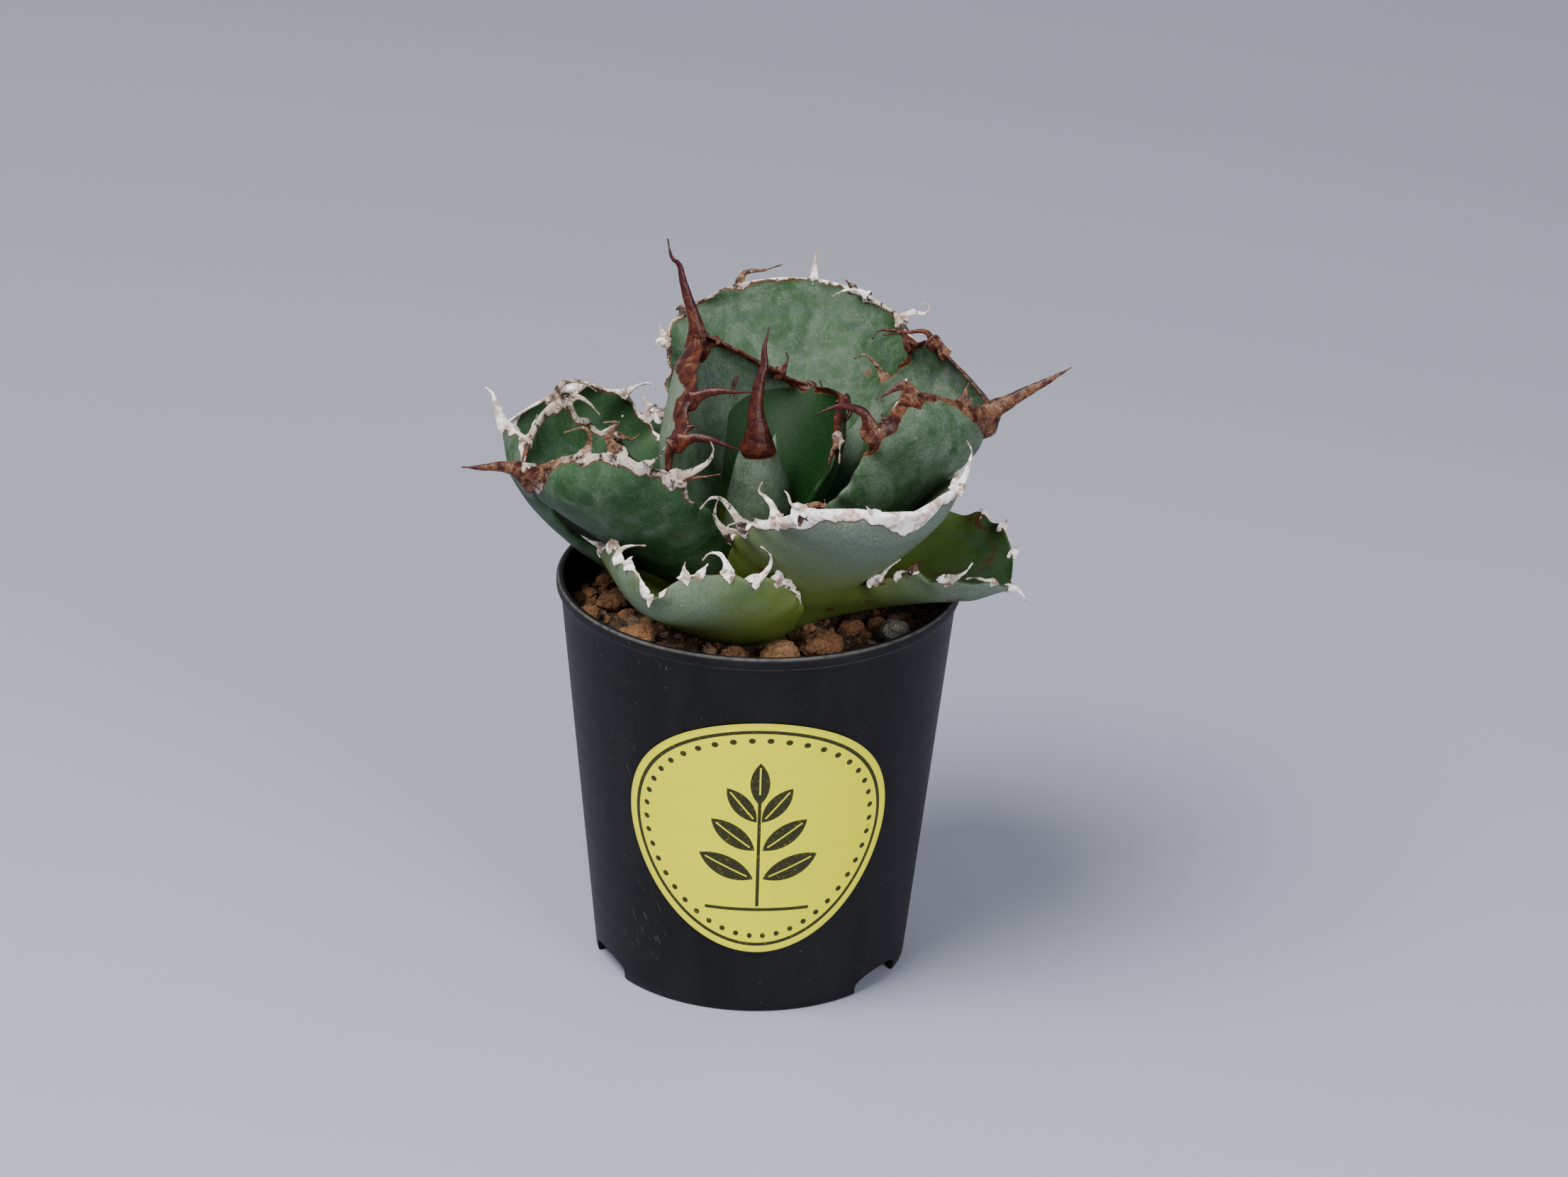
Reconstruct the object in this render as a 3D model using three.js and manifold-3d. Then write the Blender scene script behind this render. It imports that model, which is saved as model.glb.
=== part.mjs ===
// Potted agave: a low rosette of broad, horn-edged leaves in a round nursery pot.
// Millimetres, +Z up, origin at the bottom centre of the pot.
// Azimuths are degrees counter-clockwise from +X; the label faces -Y.
import * as THREE from "three";
import { mergeVertices } from "three/addons/utils/BufferGeometryUtils.js";
import Module from "manifold-3d";

const wasm = await Module();
wasm.setup();

const GAP = 0.3; // air kept between neighbouring pieces
const SWELL = 0.4; // how far a cutter's corners move out to keep about that gap
const MERGE = 1e-4; // corners closer than this are one

// ---- nursery pot -------------------------------------------------------------------------
const POT_HEIGHT = 76;
const POT_RIM_RADIUS = 37.5;
const POT_NECK_RADIUS = 36.7; // outer wall just under the rim bead
const POT_FOOT_RADIUS = 29.2;
const POT_WALL = 1.0;
const POT_SIDES = 48;
const BEAD_HEIGHT = 2.2;
const BEAD_SHOULDER = 0.4; // slope from the wall into the bead
const RIM_BEVEL = 0.5;
const FLOOR_UNDERSIDE = 4;
const FLOOR_THICKNESS = 1.2;
const NOTCHES = 3; // arched gaps between the feet
const FIRST_NOTCH = 85; // azimuth
const NOTCH_SPAN = 25; // degrees of the foot ring
const NOTCH_HEIGHT = 3.6;
const NOTCH_ARC_SEGMENTS = 4;
const NOTCH_CUT = 12; // length of the cut, inwards across the wall
const NOTCH_OVERCUT = 0.3; // the cut starts this far under the foot
const CENTRE_DRAIN_RADIUS = 5.5;
const SIDE_DRAINS = 6;
const SIDE_DRAIN_RADIUS = 2.6;
const SIDE_DRAIN_CIRCLE = 17;
const DRAIN_SIDES = 12;
const DRAIN_CUT = 5; // length of the cut, through the floor

// ---- label sticker -----------------------------------------------------------------------
const LABEL_AZIMUTH = 272;
const LABEL_HALF_WIDTH = 25; // along the curved wall
const LABEL_HALF_HEIGHT = 24.5;
const LABEL_CENTRE_Z = 38;
const LABEL_EGG = 0.1; // how much wider the top is than the bottom
const LABEL_SQUARENESS = 2.25; // exponent of the outline: 2 is an ellipse
const LABEL_THICKNESS = 0.25;
const LABEL_EDGE_POINTS = 28;
const LABEL_RINGS = 4;
const LABEL_MIDDLE = 0.02; // size of the innermost ring, as a share of the outline

// ---- soil --------------------------------------------------------------------------------
const SOIL_TOP = 67.5;
const SOIL_CROWN = 1.2; // the middle stands this much higher
const SOIL_SIDES = 36;
const SOIL_RINGS = 4;
const LUMP_SQUASH = 0.8;
const LUMP_RISE = 0.55; // height of a granule's centre above the soil, as a share of its radius
const BIG_LUMP = 2.5; // radius from which a granule has more faces
const LUMP_WAVES = [
  [0.14, 7, 3],
  [0.08, 5, 11],
]; // [share of the radius, turn from corner to corner, turn from granule to granule]
// [azimuth, distance from the axis, radius], from the front right round to the left and back
const LUMPS = [
  [335, 28, 3.2],
  [320, 29.5, 1.8],
  [310, 30.5, 1.5],
  [300, 22.5, 3.8],
  [280, 24.5, 3.5],
  [265, 25.5, 1.6],
  [250, 27.5, 1.5],
  [240, 29, 1.5],
  [228, 30, 1.5],
  [215, 26, 3],
  [205, 30.5, 1.7],
  [190, 31.5, 2.4],
  [180, 27, 2.6],
  [170, 32, 1.6],
  [160, 30.5, 2.1],
  [145, 31.5, 2.8],
  [128, 31, 2.2],
  [110, 31, 3],
  [90, 31.5, 2],
  [72, 31, 2.7],
  [55, 31.5, 2],
  [35, 31, 3],
  [15, 31.5, 2],
  [352, 31.5, 1.8],
];

// ---- stem and heart ----------------------------------------------------------------------
// [radius, height] up the short stem, from the root tip in the soil to the growing point
const STEM_PROFILE = [
  [0, 38],
  [1.2, 39],
  [4, 52],
  [7.5, 64],
  [7.5, 70],
  [4.6, 78],
  [2.4, 84],
  [0, 85],
];
const STEM_SIDES = 14;
const BUD = { base: 85.3, top: 104, lean: 2.5, turn: 20, sides: 8 };
// [share of the height, radius] up the furled bud
const BUD_PROFILE = [
  [0, 1.7],
  [0.25, 2.3],
  [0.6, 1.7],
  [0.88, 0.7],
  [1, 0.15],
];

// ---- leaf spiral -------------------------------------------------------------------------
const OLDEST_AZIMUTH = -25;
const SPIRAL_TURN = 137.5; // from each leaf to the next younger one
const OLDEST_FOOT = [4, 70]; // distance from the axis and height of a leaf's base
const YOUNGEST_FOOT = [2, 82];

// ---- horns -------------------------------------------------------------------------------
// How a tooth bends along its length: [degrees up, degrees towards the leaf's tip]
const STRAIGHT = [0, 0];
const FORWARD = [10, 70];
const RECURVED = [40, -50];
const HOOKED = [-40, -110];
const ROLLED = [120, -20];
const DROOPING = [-110, 0];
const L = 1; // left edge, as seen from the stem
const R = -1; // right edge

// ---- leaves, from the youngest to the oldest ---------------------------------------------
// drift: departure from the spiral; length along the midrib; rise: elevation at base and tip;
// half: half width at the base and where widest; widest: its share of the length;
// taper: two exponents of the outline beyond it; fold: half angle of the gutter at base, middle
// and tip; thick: midrib at base and tip; roll: turn about the midrib, left edge up;
// sweep: change of heading, to the left; spine: length, lift, turn to the left, and its curl up;
// teeth: [edge, share of the length, tooth length, lift, lean to the tip, bend].
const GROWN = { thick: [8, 3], roll: 0, sweep: 0 };
const TENDER = { thick: [5, 2.5], roll: 0, sweep: 0 };
const LEAVES = [
  {
    ...TENDER,
    name: "leaf_heart_right",
    drift: 8,
    length: 30,
    rise: [75, 50],
    half: [8, 19],
    widest: 0.55,
    taper: [2, 0.35],
    fold: [80, 70, 60],
    spine: [3, 0, 0, 0],
    teeth: [
      [L, 0.97, 8, 0, -20, HOOKED],
      [L, 0.7, 5, 30, 0, RECURVED],
      [R, 0.93, 7, -45, -15, HOOKED],
      [R, 0.7, 8, 0, -60, STRAIGHT],
    ],
  },
  {
    ...TENDER,
    name: "leaf_heart_front",
    drift: -8,
    length: 26,
    rise: [80, 85],
    half: [9, 8],
    widest: 0.4,
    taper: [1.5, 1],
    fold: [110, 130, 120],
    spine: [20, 10, 0, 30],
    teeth: [],
  },
  {
    ...GROWN,
    name: "leaf_inner_left",
    drift: 8,
    length: 44,
    rise: [60, 85],
    half: [10, 21],
    widest: 0.5,
    taper: [2, 1],
    fold: [85, 50, 105],
    roll: -5,
    spine: [18, -10, 10, 15],
    teeth: [
      [L, 0.8, 13, 45, 15, STRAIGHT],
      [L, 0.65, 13, 50, 0, STRAIGHT],
      [R, 0.78, 8, 40, 20, RECURVED],
      [R, 0.6, 7, 40, 10, RECURVED],
    ],
  },
  {
    ...GROWN,
    name: "leaf_right",
    drift: 0,
    length: 53,
    rise: [34, 52],
    half: [16, 26],
    widest: 0.8,
    taper: [2.5, 0.6],
    fold: [75, 60, 90],
    sweep: -5,
    spine: [16, -12, 15, 0],
    teeth: [
      [R, 0.99, 4.5, 70, 30, STRAIGHT],
      [R, 0.94, 8, 0, 20, HOOKED],
      [R, 0.8, 13, 15, 20, HOOKED],
      [L, 0.96, 7.5, 0, 30, HOOKED],
      [L, 0.93, 11, 25, 10, RECURVED],
      [L, 0.83, 9, 25, 10, HOOKED],
      [L, 0.65, 8, 50, 10, RECURVED],
    ],
  },
  {
    ...GROWN,
    name: "leaf_left",
    drift: -15,
    length: 52,
    rise: [32, 35],
    half: [13, 23],
    widest: 0.75,
    taper: [2.5, 1],
    fold: [55, 65, 70],
    roll: 5,
    spine: [12, -22, 0, 10],
    teeth: [
      [L, 0.93, 10, 35, -10, ROLLED],
      [L, 0.88, 11, 80, 10, DROOPING],
      [L, 0.66, 11, 10, -45, FORWARD],
      [L, 0.6, 6.5, 45, -25, STRAIGHT],
      [R, 0.85, 12.5, 0, 20, HOOKED],
      [R, 0.8, 7.5, 60, -20, ROLLED],
      [R, 0.55, 5.5, 80, 0, STRAIGHT],
    ],
  },
  {
    ...GROWN,
    name: "leaf_back",
    drift: 0,
    length: 60,
    rise: [37, 62],
    half: [13, 26],
    widest: 0.7,
    taper: [2, 0.6],
    fold: [60, 60, 25],
    sweep: -5,
    spine: [6.5, 0, 5, 5],
    teeth: [
      [L, 0.95, 10.5, 80, 30, ROLLED],
      [L, 0.83, 3.5, 15, 15, STRAIGHT],
      [L, 0.72, 4, 15, 20, RECURVED],
      [L, 0.66, 4, 0, 0, FORWARD],
      [R, 0.97, 8, 90, 0, STRAIGHT],
      [R, 0.89, 9, 25, 10, DROOPING],
      [R, 0.78, 6.5, 50, -60, STRAIGHT],
    ],
  },
  {
    ...GROWN,
    name: "leaf_front_right",
    drift: 5,
    length: 55,
    rise: [35, 40],
    half: [12, 22],
    widest: 0.6,
    taper: [2.5, 0.65],
    fold: [50, 50, 30],
    sweep: -5,
    spine: [6, -10, 0, 10],
    teeth: [
      [L, 0.94, 10.5, 5, 15, RECURVED],
      [L, 0.7, 6, 40, 20, RECURVED],
      [R, 0.88, 6, 40, -20, FORWARD],
      [R, 0.78, 8.5, 30, 0, FORWARD],
      [R, 0.6, 12.5, 35, 10, DROOPING],
      [R, 0.42, 8.5, 20, -30, ROLLED],
    ],
  },
  {
    ...GROWN,
    name: "leaf_far_left",
    drift: -3,
    length: 54,
    rise: [18, 42],
    half: [13, 25],
    widest: 0.7,
    taper: [2.5, 0.7],
    fold: [50, 30, 65],
    spine: [9, 15, -20, -20],
    teeth: [
      [L, 0.97, 4.5, -70, 10, STRAIGHT],
      [L, 0.91, 6, 45, 15, STRAIGHT],
      [R, 0.92, 7, 30, 0, RECURVED],
      [R, 0.77, 7, 60, 20, HOOKED],
      [R, 0.65, 4.5, 45, 20, STRAIGHT],
    ],
  },
  {
    ...GROWN,
    name: "leaf_low_back_right",
    drift: 14,
    length: 45,
    rise: [15, 40],
    half: [12, 23],
    widest: 0.65,
    taper: [2, 0.6],
    fold: [50, 50, 50],
    spine: [6, 0, 5, 20],
    teeth: [
      [L, 0.9, 6, 40, 15, RECURVED],
      [L, 0.72, 8, 35, 0, RECURVED],
      [R, 0.88, 7, 30, 10, RECURVED],
      [R, 0.66, 5, 40, 0, RECURVED],
    ],
  },
  {
    ...GROWN,
    name: "leaf_low_front",
    drift: -12,
    length: 41,
    rise: [20, 30],
    half: [12, 20],
    widest: 0.5,
    taper: [2, 0.8],
    fold: [25, 35, 75],
    sweep: 10,
    spine: [2.5, 10, 0, 20],
    teeth: [
      [L, 0.95, 3, 35, 0, STRAIGHT],
      [L, 0.85, 8.5, 35, -15, ROLLED],
      [L, 0.77, 7.5, 0, -30, ROLLED],
      [L, 0.65, 7.5, 50, 20, HOOKED],
      [R, 0.87, 5.5, 60, 20, RECURVED],
      [R, 0.78, 9, 40, 20, ROLLED],
      [R, 0.62, 5, -30, 0, STRAIGHT],
    ],
  },
  {
    ...GROWN,
    name: "leaf_low_back_left",
    drift: 5,
    length: 47,
    rise: [10, 45],
    half: [11, 23],
    widest: 0.65,
    taper: [2, 0.6],
    fold: [50, 50, 50],
    spine: [5, 0, 5, 20],
    teeth: [
      [L, 0.86, 6, 35, 10, RECURVED],
      [L, 0.66, 4, 40, 0, RECURVED],
      [R, 0.88, 8, 35, 5, RECURVED],
      [R, 0.7, 5, 35, 10, RECURVED],
    ],
  },
  {
    ...TENDER,
    name: "leaf_low_right",
    drift: 15,
    length: 45,
    rise: [27, 0],
    half: [10, 18],
    widest: 0.65,
    taper: [2.5, 0.7],
    fold: [30, 45, 45],
    sweep: -10,
    spine: [4, 5, -15, -15],
    teeth: [
      [L, 0.96, 2, 45, 20, STRAIGHT],
      [L, 0.89, 2, 45, 15, STRAIGHT],
      [R, 0.85, 6, 45, 50, STRAIGHT],
      [R, 0.56, 4, 15, 30, STRAIGHT],
    ],
  },
];
const MIDRIB_STEPS = 100;
const BLADE_PLACES = [0, 0.12, 0.26, 0.4, 0.54, 0.67, 0.78, 0.87, 0.94, 0.98, 1];
const LEAF_COLUMNS = 6; // across the blade
const BASE_FLARE = 1.3; // exponent of the outline up to the widest place
const EDGE_THICKNESS = 0.8;
const MIDRIB_THINNING = 0.8; // exponent of the thickness along the midrib
const SECTION_FULLNESS = 2.2; // exponent of the thickness across the blade
const BLUNT_LENGTH = 0.12; // share of the length over which the tip thins down
const BLUNT_THICKNESS = 0.35; // share of the thickness left at the tip
const TIP_HALF_WIDTH = 1.2;
const SPINE_ROOT = 4; // length of the spine inside the blade
const SPINE_DEPTH = 1; // its middle lies this far under the upper face
const SPINE_SECTION = [2.3, 1.3]; // half width and half thickness at its root
const SPINE_SEGMENTS = 4;
const TOOTH_ROOT = 1; // length of a tooth inside the edge
const TOOTH_HALF_WIDTH = 0.9;
const TOOTH_WIDENING = 0.1; // more half width for each millimetre of length
const TOOTH_HALF_THICKNESS = 0.5;
const TOOTH_SEGMENTS = 3;
const HORN_TAPER = 0.8;
const HORN_TIP = 0.15;

// ---- colours -----------------------------------------------------------------------------
const MATERIALS = {
  pot: new THREE.MeshStandardMaterial({ color: 0x1b1c1f, roughness: 0.45, metalness: 0 }),
  label: new THREE.MeshStandardMaterial({ color: 0xe2dc4a, roughness: 0.4, metalness: 0 }),
  soil: new THREE.MeshStandardMaterial({ color: 0x6b4a30, roughness: 0.95, metalness: 0 }),
  lump: new THREE.MeshStandardMaterial({ color: 0xb07f4d, roughness: 0.95, metalness: 0 }),
  stem: new THREE.MeshStandardMaterial({ color: 0x8b9a52, roughness: 0.7, metalness: 0 }),
  leaf: new THREE.MeshStandardMaterial({ color: 0x5c7f68, roughness: 0.55, metalness: 0 }),
};

const rad = THREE.MathUtils.degToRad;
const mix = THREE.MathUtils.lerp;
const UP = new THREE.Vector3(0, 0, 1);
const heading = (azimuth) => new THREE.Vector3(Math.cos(rad(azimuth)), Math.sin(rad(azimuth)), 0);
const polar = (azimuth, radius, z) => heading(azimuth).multiplyScalar(radius).setZ(z);

// ---- solids ------------------------------------------------------------------------------

// A closed geometry as a solid for joining and cutting.
function solid(geometry) {
  const bare = geometry.clone();
  bare.deleteAttribute("normal");
  bare.deleteAttribute("uv");
  const merged = mergeVertices(bare, MERGE);
  return new wasm.Manifold(
    new wasm.Mesh({
      numProp: 3,
      vertProperties: merged.attributes.position.array,
      triVerts: new Uint32Array(merged.index.array),
    }),
  );
}

// A solid's skin as a geometry with normals.
function skin(body) {
  const { vertProperties, triVerts } = body.getMesh();
  const geometry = new THREE.BufferGeometry();
  geometry.setAttribute("position", new THREE.BufferAttribute(vertProperties, 3));
  geometry.setIndex(new THREE.BufferAttribute(triVerts, 1));
  geometry.computeVertexNormals();
  return geometry;
}

// The largest body of a solid as a named mesh.
function piece(name, body, material) {
  const [largest] = body.decompose().sort((a, b) => b.volume() - a.volume());
  const mesh = new THREE.Mesh(skin(largest), material);
  mesh.name = name;
  return mesh;
}

// The solid with its skin moved out, so that a neighbour cut with it keeps its distance.
function swollen(body) {
  const geometry = skin(body);
  const corners = geometry.attributes.position.array;
  const normals = geometry.attributes.normal.array;
  for (let i = 0; i < corners.length; i++) corners[i] += SWELL * normals[i];
  return solid(geometry);
}

// A skin through closed rings of points, all of one even count. Its ends close like a ladder,
// from each point to the one across from it, so that a curved outline is capped whole.
function loft(rings) {
  const count = rings[0].length;
  const last = (rings.length - 1) * count;
  const faces = [];
  const quad = (a, b, c, d) => faces.push(a, b, c, a, c, d);
  for (let i = 0; i < last; i += count)
    for (let j = 0; j < count; j++) {
      const k = (j + 1) % count;
      quad(i + j, i + k, i + count + k, i + count + j);
    }
  for (let j = 0; j < count / 2 - 1; j++) {
    const [across, beside] = [count - 1 - j, count - 2 - j];
    quad(j, across, beside, j + 1);
    quad(last + j, last + j + 1, last + beside, last + across);
  }
  return solid(new THREE.BufferGeometry().setFromPoints(rings.flat()).setIndex(faces));
}

// A solid of revolution about Z from [radius, z] points that start and end on the axis.
function turned(profile, sides) {
  const points = profile.map(([radius, z]) => new THREE.Vector2(radius, z));
  return solid(new THREE.LatheGeometry(points, sides).rotateX(Math.PI / 2));
}

// ---- pot ---------------------------------------------------------------------------------

const NECK_Z = POT_HEIGHT - BEAD_HEIGHT;
const FLOOR_TOP = FLOOR_UNDERSIDE + FLOOR_THICKNESS;
const wallRadius = (z) => mix(POT_FOOT_RADIUS, POT_NECK_RADIUS, z / NECK_Z);
const innerRadius = (z) => wallRadius(z) - POT_WALL;

function notchCutter(azimuth) {
  const halfSpan = POT_FOOT_RADIUS * Math.sin(rad(NOTCH_SPAN / 2));
  const spring = NOTCH_HEIGHT / 2;
  const arch = new THREE.Shape();
  arch.moveTo(-halfSpan, -NOTCH_OVERCUT);
  arch.lineTo(halfSpan, -NOTCH_OVERCUT);
  arch.lineTo(halfSpan, spring);
  arch.absellipse(0, spring, halfSpan, NOTCH_HEIGHT - spring, 0, Math.PI);
  const bar = new THREE.ExtrudeGeometry(arch, {
    depth: NOTCH_CUT,
    curveSegments: NOTCH_ARC_SEGMENTS,
    bevelEnabled: false,
  });
  bar.rotateX(Math.PI / 2).rotateZ(Math.PI / 2);
  bar.translate(POT_FOOT_RADIUS - NOTCH_CUT / 2, 0, 0).rotateZ(rad(azimuth));
  return solid(bar);
}

function drainCutter(radius, azimuth, distance) {
  const drill = new THREE.CylinderGeometry(radius, radius, DRAIN_CUT, DRAIN_SIDES);
  const { x, y, z } = polar(azimuth, distance, FLOOR_UNDERSIDE + FLOOR_THICKNESS / 2);
  return solid(drill.rotateX(Math.PI / 2).translate(x, y, z));
}

function nurseryPot() {
  const mouth = innerRadius(NECK_Z);
  const profile = [
    [0, FLOOR_UNDERSIDE],
    [innerRadius(FLOOR_UNDERSIDE), FLOOR_UNDERSIDE],
    [innerRadius(0), 0],
    [wallRadius(0), 0],
    [wallRadius(NECK_Z), NECK_Z],
    [POT_RIM_RADIUS, NECK_Z + BEAD_SHOULDER],
    [POT_RIM_RADIUS, POT_HEIGHT - RIM_BEVEL],
    [POT_RIM_RADIUS - RIM_BEVEL, POT_HEIGHT],
    [mouth + RIM_BEVEL, POT_HEIGHT],
    [mouth, POT_HEIGHT - RIM_BEVEL],
    [innerRadius(FLOOR_TOP), FLOOR_TOP],
    [0, FLOOR_TOP],
  ];
  let pot = turned(profile, POT_SIDES);
  for (let i = 0; i < NOTCHES; i++)
    pot = pot.subtract(notchCutter(FIRST_NOTCH + (i * 360) / NOTCHES));
  pot = pot.subtract(drainCutter(CENTRE_DRAIN_RADIUS, 0, 0));
  for (let i = 0; i < SIDE_DRAINS; i++)
    pot = pot.subtract(drainCutter(SIDE_DRAIN_RADIUS, (i * 360) / SIDE_DRAINS, SIDE_DRAIN_CIRCLE));
  return piece("nursery_pot", pot, MATERIALS.pot);
}

// ---- label -------------------------------------------------------------------------------

// A point of the label wrapped on the wall: share runs from its middle to its edge.
function labelPoint(turn, share, proud) {
  const power = 2 / LABEL_SQUARENESS;
  const across = Math.sign(Math.cos(turn)) * Math.abs(Math.cos(turn)) ** power;
  const along = Math.sign(Math.sin(turn)) * Math.abs(Math.sin(turn)) ** power;
  const z = LABEL_CENTRE_Z + share * LABEL_HALF_HEIGHT * along;
  const arc = share * LABEL_HALF_WIDTH * across * (1 + LABEL_EGG * along);
  const offset = THREE.MathUtils.radToDeg(arc / wallRadius(z));
  return polar(LABEL_AZIMUTH + offset, wallRadius(z) + proud, z);
}

function labelSticker() {
  const shares = [LABEL_MIDDLE];
  for (let i = 1; i <= LABEL_RINGS; i++) shares.push(i / LABEL_RINGS);
  const ringAt = (share, proud) => {
    const ring = [];
    for (let i = 0; i < LABEL_EDGE_POINTS; i++)
      ring.push(labelPoint((2 * Math.PI * i) / LABEL_EDGE_POINTS, share, proud));
    return ring;
  };
  const back = shares.map((share) => ringAt(share, GAP));
  const front = shares.map((share) => ringAt(share, GAP + LABEL_THICKNESS)).reverse();
  return piece("label_sticker", loft([...back, ...front]), MATERIALS.label);
}

// ---- heart bud ---------------------------------------------------------------------------

function budSolid() {
  const rings = BUD_PROFILE.map(([share, radius]) => {
    const centre = polar(BUD.turn, BUD.lean * share, mix(BUD.base, BUD.top, share));
    const ring = [];
    for (let i = 0; i < BUD.sides; i++)
      ring.push(polar((i * 360) / BUD.sides, radius, 0).add(centre));
    return ring;
  });
  return loft(rings);
}

// ---- leaves ------------------------------------------------------------------------------

// A leaf with its azimuth and foot, from its place in the spiral.
function placed(leaf, index) {
  const younger = LEAVES.length - 1 - index;
  const rank = (younger / (LEAVES.length - 1)) ** 2;
  const azimuth = OLDEST_AZIMUTH + younger * SPIRAL_TURN + leaf.drift;
  const foot = OLDEST_FOOT.map((oldest, i) => mix(oldest, YOUNGEST_FOOT[i], rank));
  return { ...leaf, azimuth, foot };
}

// Half width of the blade at a share of its length.
function halfWidth(leaf, t) {
  const [base, most] = leaf.half;
  if (t < leaf.widest) {
    const quarter = ((t / leaf.widest) * Math.PI) / 2;
    return mix(base, most, Math.sin(quarter) ** BASE_FLARE);
  }
  const beyond = (t - leaf.widest) / (1 - leaf.widest);
  const [shoulder, point] = leaf.taper;
  return Math.max(TIP_HALF_WIDTH, most * Math.max(0, 1 - beyond ** shoulder) ** point);
}

// Half angle of the gutter, through its three given values.
function foldAngle(leaf, t) {
  const [base, middle, tip] = leaf.fold;
  return rad(base * (1 - t) * (1 - 2 * t) + middle * 4 * t * (1 - t) + tip * t * (2 * t - 1));
}

function midribThickness(leaf, t) {
  const blunt = Math.min(1, (1 - t) / BLUNT_LENGTH + BLUNT_THICKNESS);
  return mix(...leaf.thick, t ** MIDRIB_THINNING) * blunt;
}

// The midrib as frames: a point, the way along, the way to the left edge and the way up.
function midrib(leaf) {
  const frames = [];
  const point = polar(leaf.azimuth, ...leaf.foot);
  const step = leaf.length / MIDRIB_STEPS;
  for (let i = 0; i <= MIDRIB_STEPS; i++) {
    const t = i / MIDRIB_STEPS;
    const rise = rad(mix(...leaf.rise, t));
    const flat = heading(leaf.azimuth + leaf.sweep * t);
    const along = flat.clone().multiplyScalar(Math.cos(rise)).addScaledVector(UP, Math.sin(rise));
    const left = UP.clone().cross(flat).applyAxisAngle(along, rad(leaf.roll));
    const up = along.clone().cross(left);
    if (i) point.addScaledVector(along.clone().add(frames[i - 1].along), step / 2);
    frames.push({ t, point: point.clone(), along, left, up });
  }
  return frames;
}

// A point of the blade: u runs from -1 at the right edge to 1 at the left edge.
function bladePoint(leaf, frame, u, depth) {
  const fold = foldAngle(leaf, frame.t);
  const radius = halfWidth(leaf, frame.t) / fold;
  const angle = fold * u;
  return frame.point
    .clone()
    .addScaledVector(frame.left, (radius + depth) * Math.sin(angle))
    .addScaledVector(frame.up, radius - (radius + depth) * Math.cos(angle));
}

function bladeSolid(leaf) {
  const frames = midrib(leaf);
  const rings = BLADE_PLACES.map((t) => {
    const frame = frames[Math.round(t * MIDRIB_STEPS)];
    const body = Math.max(0, midribThickness(leaf, frame.t) - EDGE_THICKNESS);
    const upper = [];
    const lower = [];
    for (let j = 0; j <= LEAF_COLUMNS; j++) {
      const u = 1 - (2 * j) / LEAF_COLUMNS;
      const thickness = EDGE_THICKNESS + body * (1 - Math.abs(u) ** SECTION_FULLNESS);
      upper.push(bladePoint(leaf, frame, u, 0));
      lower.unshift(bladePoint(leaf, frame, u, thickness));
    }
    return [...upper, ...lower];
  });
  return loft(rings);
}

// A flat curved horn. bend(share) gives its way at a share of its length.
function hornSolid(start, bend, across, length, [wide, thin], segments) {
  const point = start.clone();
  const rings = [];
  for (let i = 0; i <= segments; i++) {
    const way = bend(i / segments);
    const side = across.clone().addScaledVector(way, -across.dot(way)).normalize();
    const face = way.clone().cross(side);
    const taper = (1 - i / segments) ** HORN_TAPER;
    const [a, b] = [wide, thin].map((half) => Math.max(HORN_TIP, half * taper));
    const corner = (x, y) => point.clone().addScaledVector(side, x).addScaledVector(face, y);
    rings.push([corner(a, 0), corner(0, b), corner(-a, 0), corner(0, -b)]);
    point.addScaledVector(way, length / segments);
  }
  return loft(rings);
}

// The way turned up from ahead and then aside, in degrees.
const turnedWay = (ahead, up, aside, lift, turn) =>
  ahead
    .clone()
    .multiplyScalar(Math.cos(rad(lift)))
    .addScaledVector(up, Math.sin(rad(lift)))
    .multiplyScalar(Math.cos(rad(turn)))
    .addScaledVector(aside, Math.sin(rad(turn)));

function spineSolid(leaf) {
  const [length, lift, turn, curl] = leaf.spine;
  const { point, along, left, up } = midrib(leaf).at(-1);
  const bend = (share) => turnedWay(along, up, left, lift + curl * share, turn);
  const start = point.clone().addScaledVector(along, -SPINE_ROOT).addScaledVector(up, -SPINE_DEPTH);
  return hornSolid(start, bend, left, length + SPINE_ROOT, SPINE_SECTION, SPINE_SEGMENTS);
}

function toothSolid(leaf, [side, at, length, lift, lean, [curl, veer]]) {
  const frame = midrib(leaf)[Math.round(at * MIDRIB_STEPS)];
  const fold = foldAngle(leaf, frame.t) * side;
  const out = frame.left.clone().multiplyScalar(Math.cos(fold) * side);
  out.addScaledVector(frame.up, Math.sin(fold) * side);
  const up = frame.up.clone().multiplyScalar(Math.cos(fold));
  up.addScaledVector(frame.left, -Math.sin(fold));
  const bend = (share) => turnedWay(out, up, frame.along, lift + curl * share, lean + veer * share);
  const start = bladePoint(leaf, frame, side, EDGE_THICKNESS / 2).addScaledVector(out, -TOOTH_ROOT);
  const section = [TOOTH_HALF_WIDTH + TOOTH_WIDENING * length, TOOTH_HALF_THICKNESS];
  return hornSolid(start, bend, frame.along, length + TOOTH_ROOT, section, TOOTH_SEGMENTS);
}

const leafSolid = (leaf) =>
  leaf.teeth.reduce(
    (body, tooth) => body.add(toothSolid(leaf, tooth)),
    bladeSolid(leaf).add(spineSolid(leaf)),
  );

// ---- soil --------------------------------------------------------------------------------

const soilHeight = (radius) => SOIL_TOP + SOIL_CROWN * (1 - (radius / innerRadius(SOIL_TOP)) ** 2);

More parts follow.
